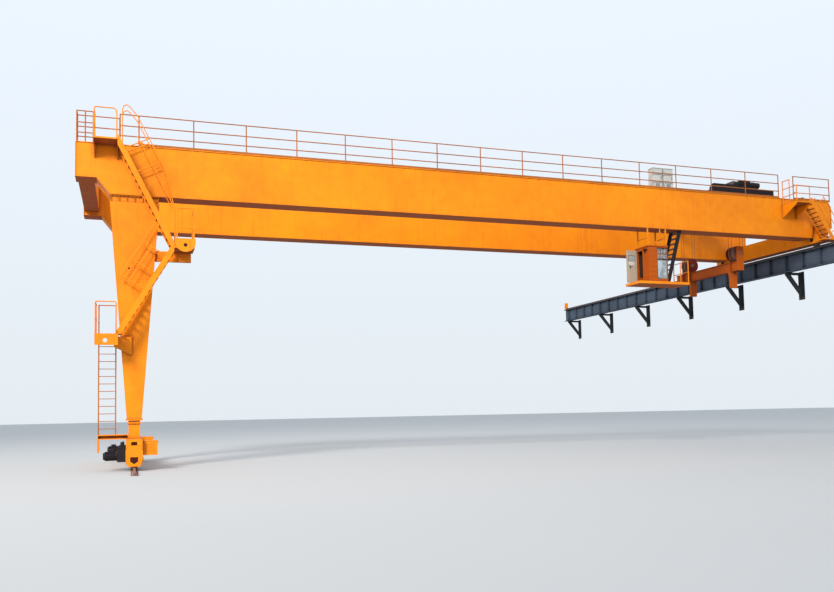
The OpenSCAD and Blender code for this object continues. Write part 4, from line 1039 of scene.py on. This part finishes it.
class CRANE_OT_sheave_fittings(bpy.types.Operator):
    """Axle keepers, round covers, bolts and welds on the lifting beam"""
    bl_idname = "crane.sheave_fittings"
    bl_label = "Lifting beam fittings"

    def execute(self, context):
        sheaves, claws = local_box("hook_sheaves"), local_box("claws")
        (_, y0, z0), (_, y1, _) = local_box("lifting_beam")
        x, _, z = middle("hook_sheaves")
        near, far = sheaves[0].y + 0.27, sheaves[1].y - 0.27
        bolts, covers, welds = (bmesh.new() for _ in range(3))
        dish = [(0, 0.004), (0.1, 0.006), (0.11, 0.016), (0.3, 0.016), (0.33, 0.006), (0.355, 0.006),
                (0.36, 0.014), (0.372, 0.014), (0.372, -0.002), (0, -0.002)]
        keeper = [(0, 0.03), (0.05, 0.03), (0.06, 0.024), (0.085, 0.02), (0.09, 0), (0, 0)]
        for block, s in product((near, far), BOTH):
            y = block + s * 0.32
            if near < y < far:
                # Round covers whose dark red paint stands in for the shaded sheave behind them.
                add_lathe(covers, (x, y, z), (0, s, 0), dish, 48)
                y += s * 0.014
            add_lathe(bolts, (x, y, z), (0, s, 0), keeper, 24)
            for dx, dz in round_points(4, 0.13, 0.5):
                add_bolt(bolts, (x + dx, y, z + dz), (0, s, 0), 0.03, 0.014)
        for y, s in ((claws[0].y, -1), (claws[0].y + 0.15, 1), (claws[1].y - 0.15, -1), (claws[1].y, 1)):
            for dx, dz in product((-0.11, 0.11), (0.1, 0.24)):
                add_bolt(bolts, (x + dx, y, claws[1].z - dz), (0, s, 0), 0.036, 0.018)
        finish_piece("beam_bolts", bolts, "bolt_steel", "load_beam")
        finish_piece("sheave_covers", covers, "sheave_cover_paint", "load_beam")

        for dx, dz in product((-0.11, 0.11), (0.028, 0.472)):
            add_rod(welds, (x + dx, y0 + 0.05, z0 + dz), (x + dx, y1 - 0.05, z0 + dz), 0.006, 6)
        finish_piece("beam_welds", welds, "beam_paint", "load_beam")
        return {"FINISHED"}


class CRANE_OT_stair_fittings(bpy.types.Operator):
    """Grip strips on the treads, feet under the rail posts and dark discs of painted shade in the round
    holes
    """
    bl_idname = "crane.stair_fittings"
    bl_label = "Stair fittings"

    def execute(self, context):
        grips, feet, dark = (bmesh.new() for _ in range(3))
        # Each flight's foot and head as (x, z), its near edge, its width and its count of treads.
        flights = (((-0.6, 4.89), (1.36, 8.2), -0.77, 0.65, 14),
                   ((1.39, 8.24), (-0.59, 12.16), -0.77, 0.65, 16),
                   ((32.908, 10.1), (31.705, 11.88), -1.01, 0.56, 9))
        for (xa, za), (xb, zb), y, width, treads in flights:
            for k, dx in product(range(treads), (-0.06, -0.02, 0.02, 0.06)):
                share = (k + 0.5) / treads
                x, z = xa + (xb - xa) * share + dx, za + (zb - za) * share + 0.026
                add_block(grips, (x - 0.006, y + 0.05, z), (x + 0.006, y + width - 0.05, z + 0.004))
        finish_piece("grip_strips", grips, "railing_paint", "crane")

        low, high = local_box("far_girder_railing")
        for start, end, y in ((0.14, WALL_RAIL_X - 2.42, 0.0), (low.x + 0.023, high.x - 0.023, 7.27)):
            for x in spaced(start, end, round((end - start) / POST_STEP)):
                add_block(feet, (x - 0.06, y, GIRDER_TOP), (x + 0.06, y + 0.11, GIRDER_TOP + 0.012), 0.003)
        finish_piece("post_feet", feet, "railing_paint", "crane")

        # Painted shade: dark discs fill the round holes.
        low, high = local_box("landing")
        x, z = high.x - 0.375, HUB_Z
        add_rod(dark, (x, low.y + 0.006, z), (x, low.y + 0.019, z), 0.0715, 28)
        for x, z in LEG_HOLES:
            face = middle("near_leg").y - leg_half(z)[1]
            add_rod(dark, (x, face - 0.003, z), (x, face + 0.012, z), 0.035, 20)
        finish_piece("dark_holes", dark, "opening_dark", "crane")
        return {"FINISHED"}


SETTINGS = {"crane_paint": CranePaintSettings, "crane_fittings": CraneFittingSettings,
            "crane_stage": CraneStageSettings}
# The operators in the order in which they build the scene.
STEPS = [CRANE_OT_stage, CRANE_OT_finishes, CRANE_OT_weld_seams, CRANE_OT_flange_bolts, CRANE_OT_rail_clips,
         CRANE_OT_carriage_fittings, CRANE_OT_drive_fittings, CRANE_OT_cab_fittings, CRANE_OT_box_fittings,
         CRANE_OT_rope_falls, CRANE_OT_hoist_fittings, CRANE_OT_sheave_fittings, CRANE_OT_stair_fittings]


class CRANE_PT_panel(bpy.types.Panel):
    bl_idname = "CRANE_PT_panel"
    bl_label = "Semi-Gantry Crane"
    bl_space_type = "VIEW_3D"
    bl_region_type = "UI"
    bl_category = "Crane"

    def draw(self, context):
        for name in SETTINGS:
            box = self.layout.box()
            group = getattr(context.scene, name)
            for key in group.__annotations__:
                box.prop(group, key)
        for step in STEPS:
            self.layout.operator(step.bl_idname)


CLASSES = [*SETTINGS.values(), *STEPS, CRANE_PT_panel]


def register():
    for cls in CLASSES:
        bpy.utils.register_class(cls)
    for name, group in SETTINGS.items():
        setattr(bpy.types.Scene, name, bpy.props.PointerProperty(type=group))


def unregister():
    for name in SETTINGS:
        delattr(bpy.types.Scene, name)
    for cls in reversed(CLASSES):
        bpy.utils.unregister_class(cls)


def main():
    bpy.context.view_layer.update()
    register()
    for step in STEPS:
        getattr(bpy.ops.crane, step.bl_idname.split(".")[1])()


if __name__ == "__main__":
    main()
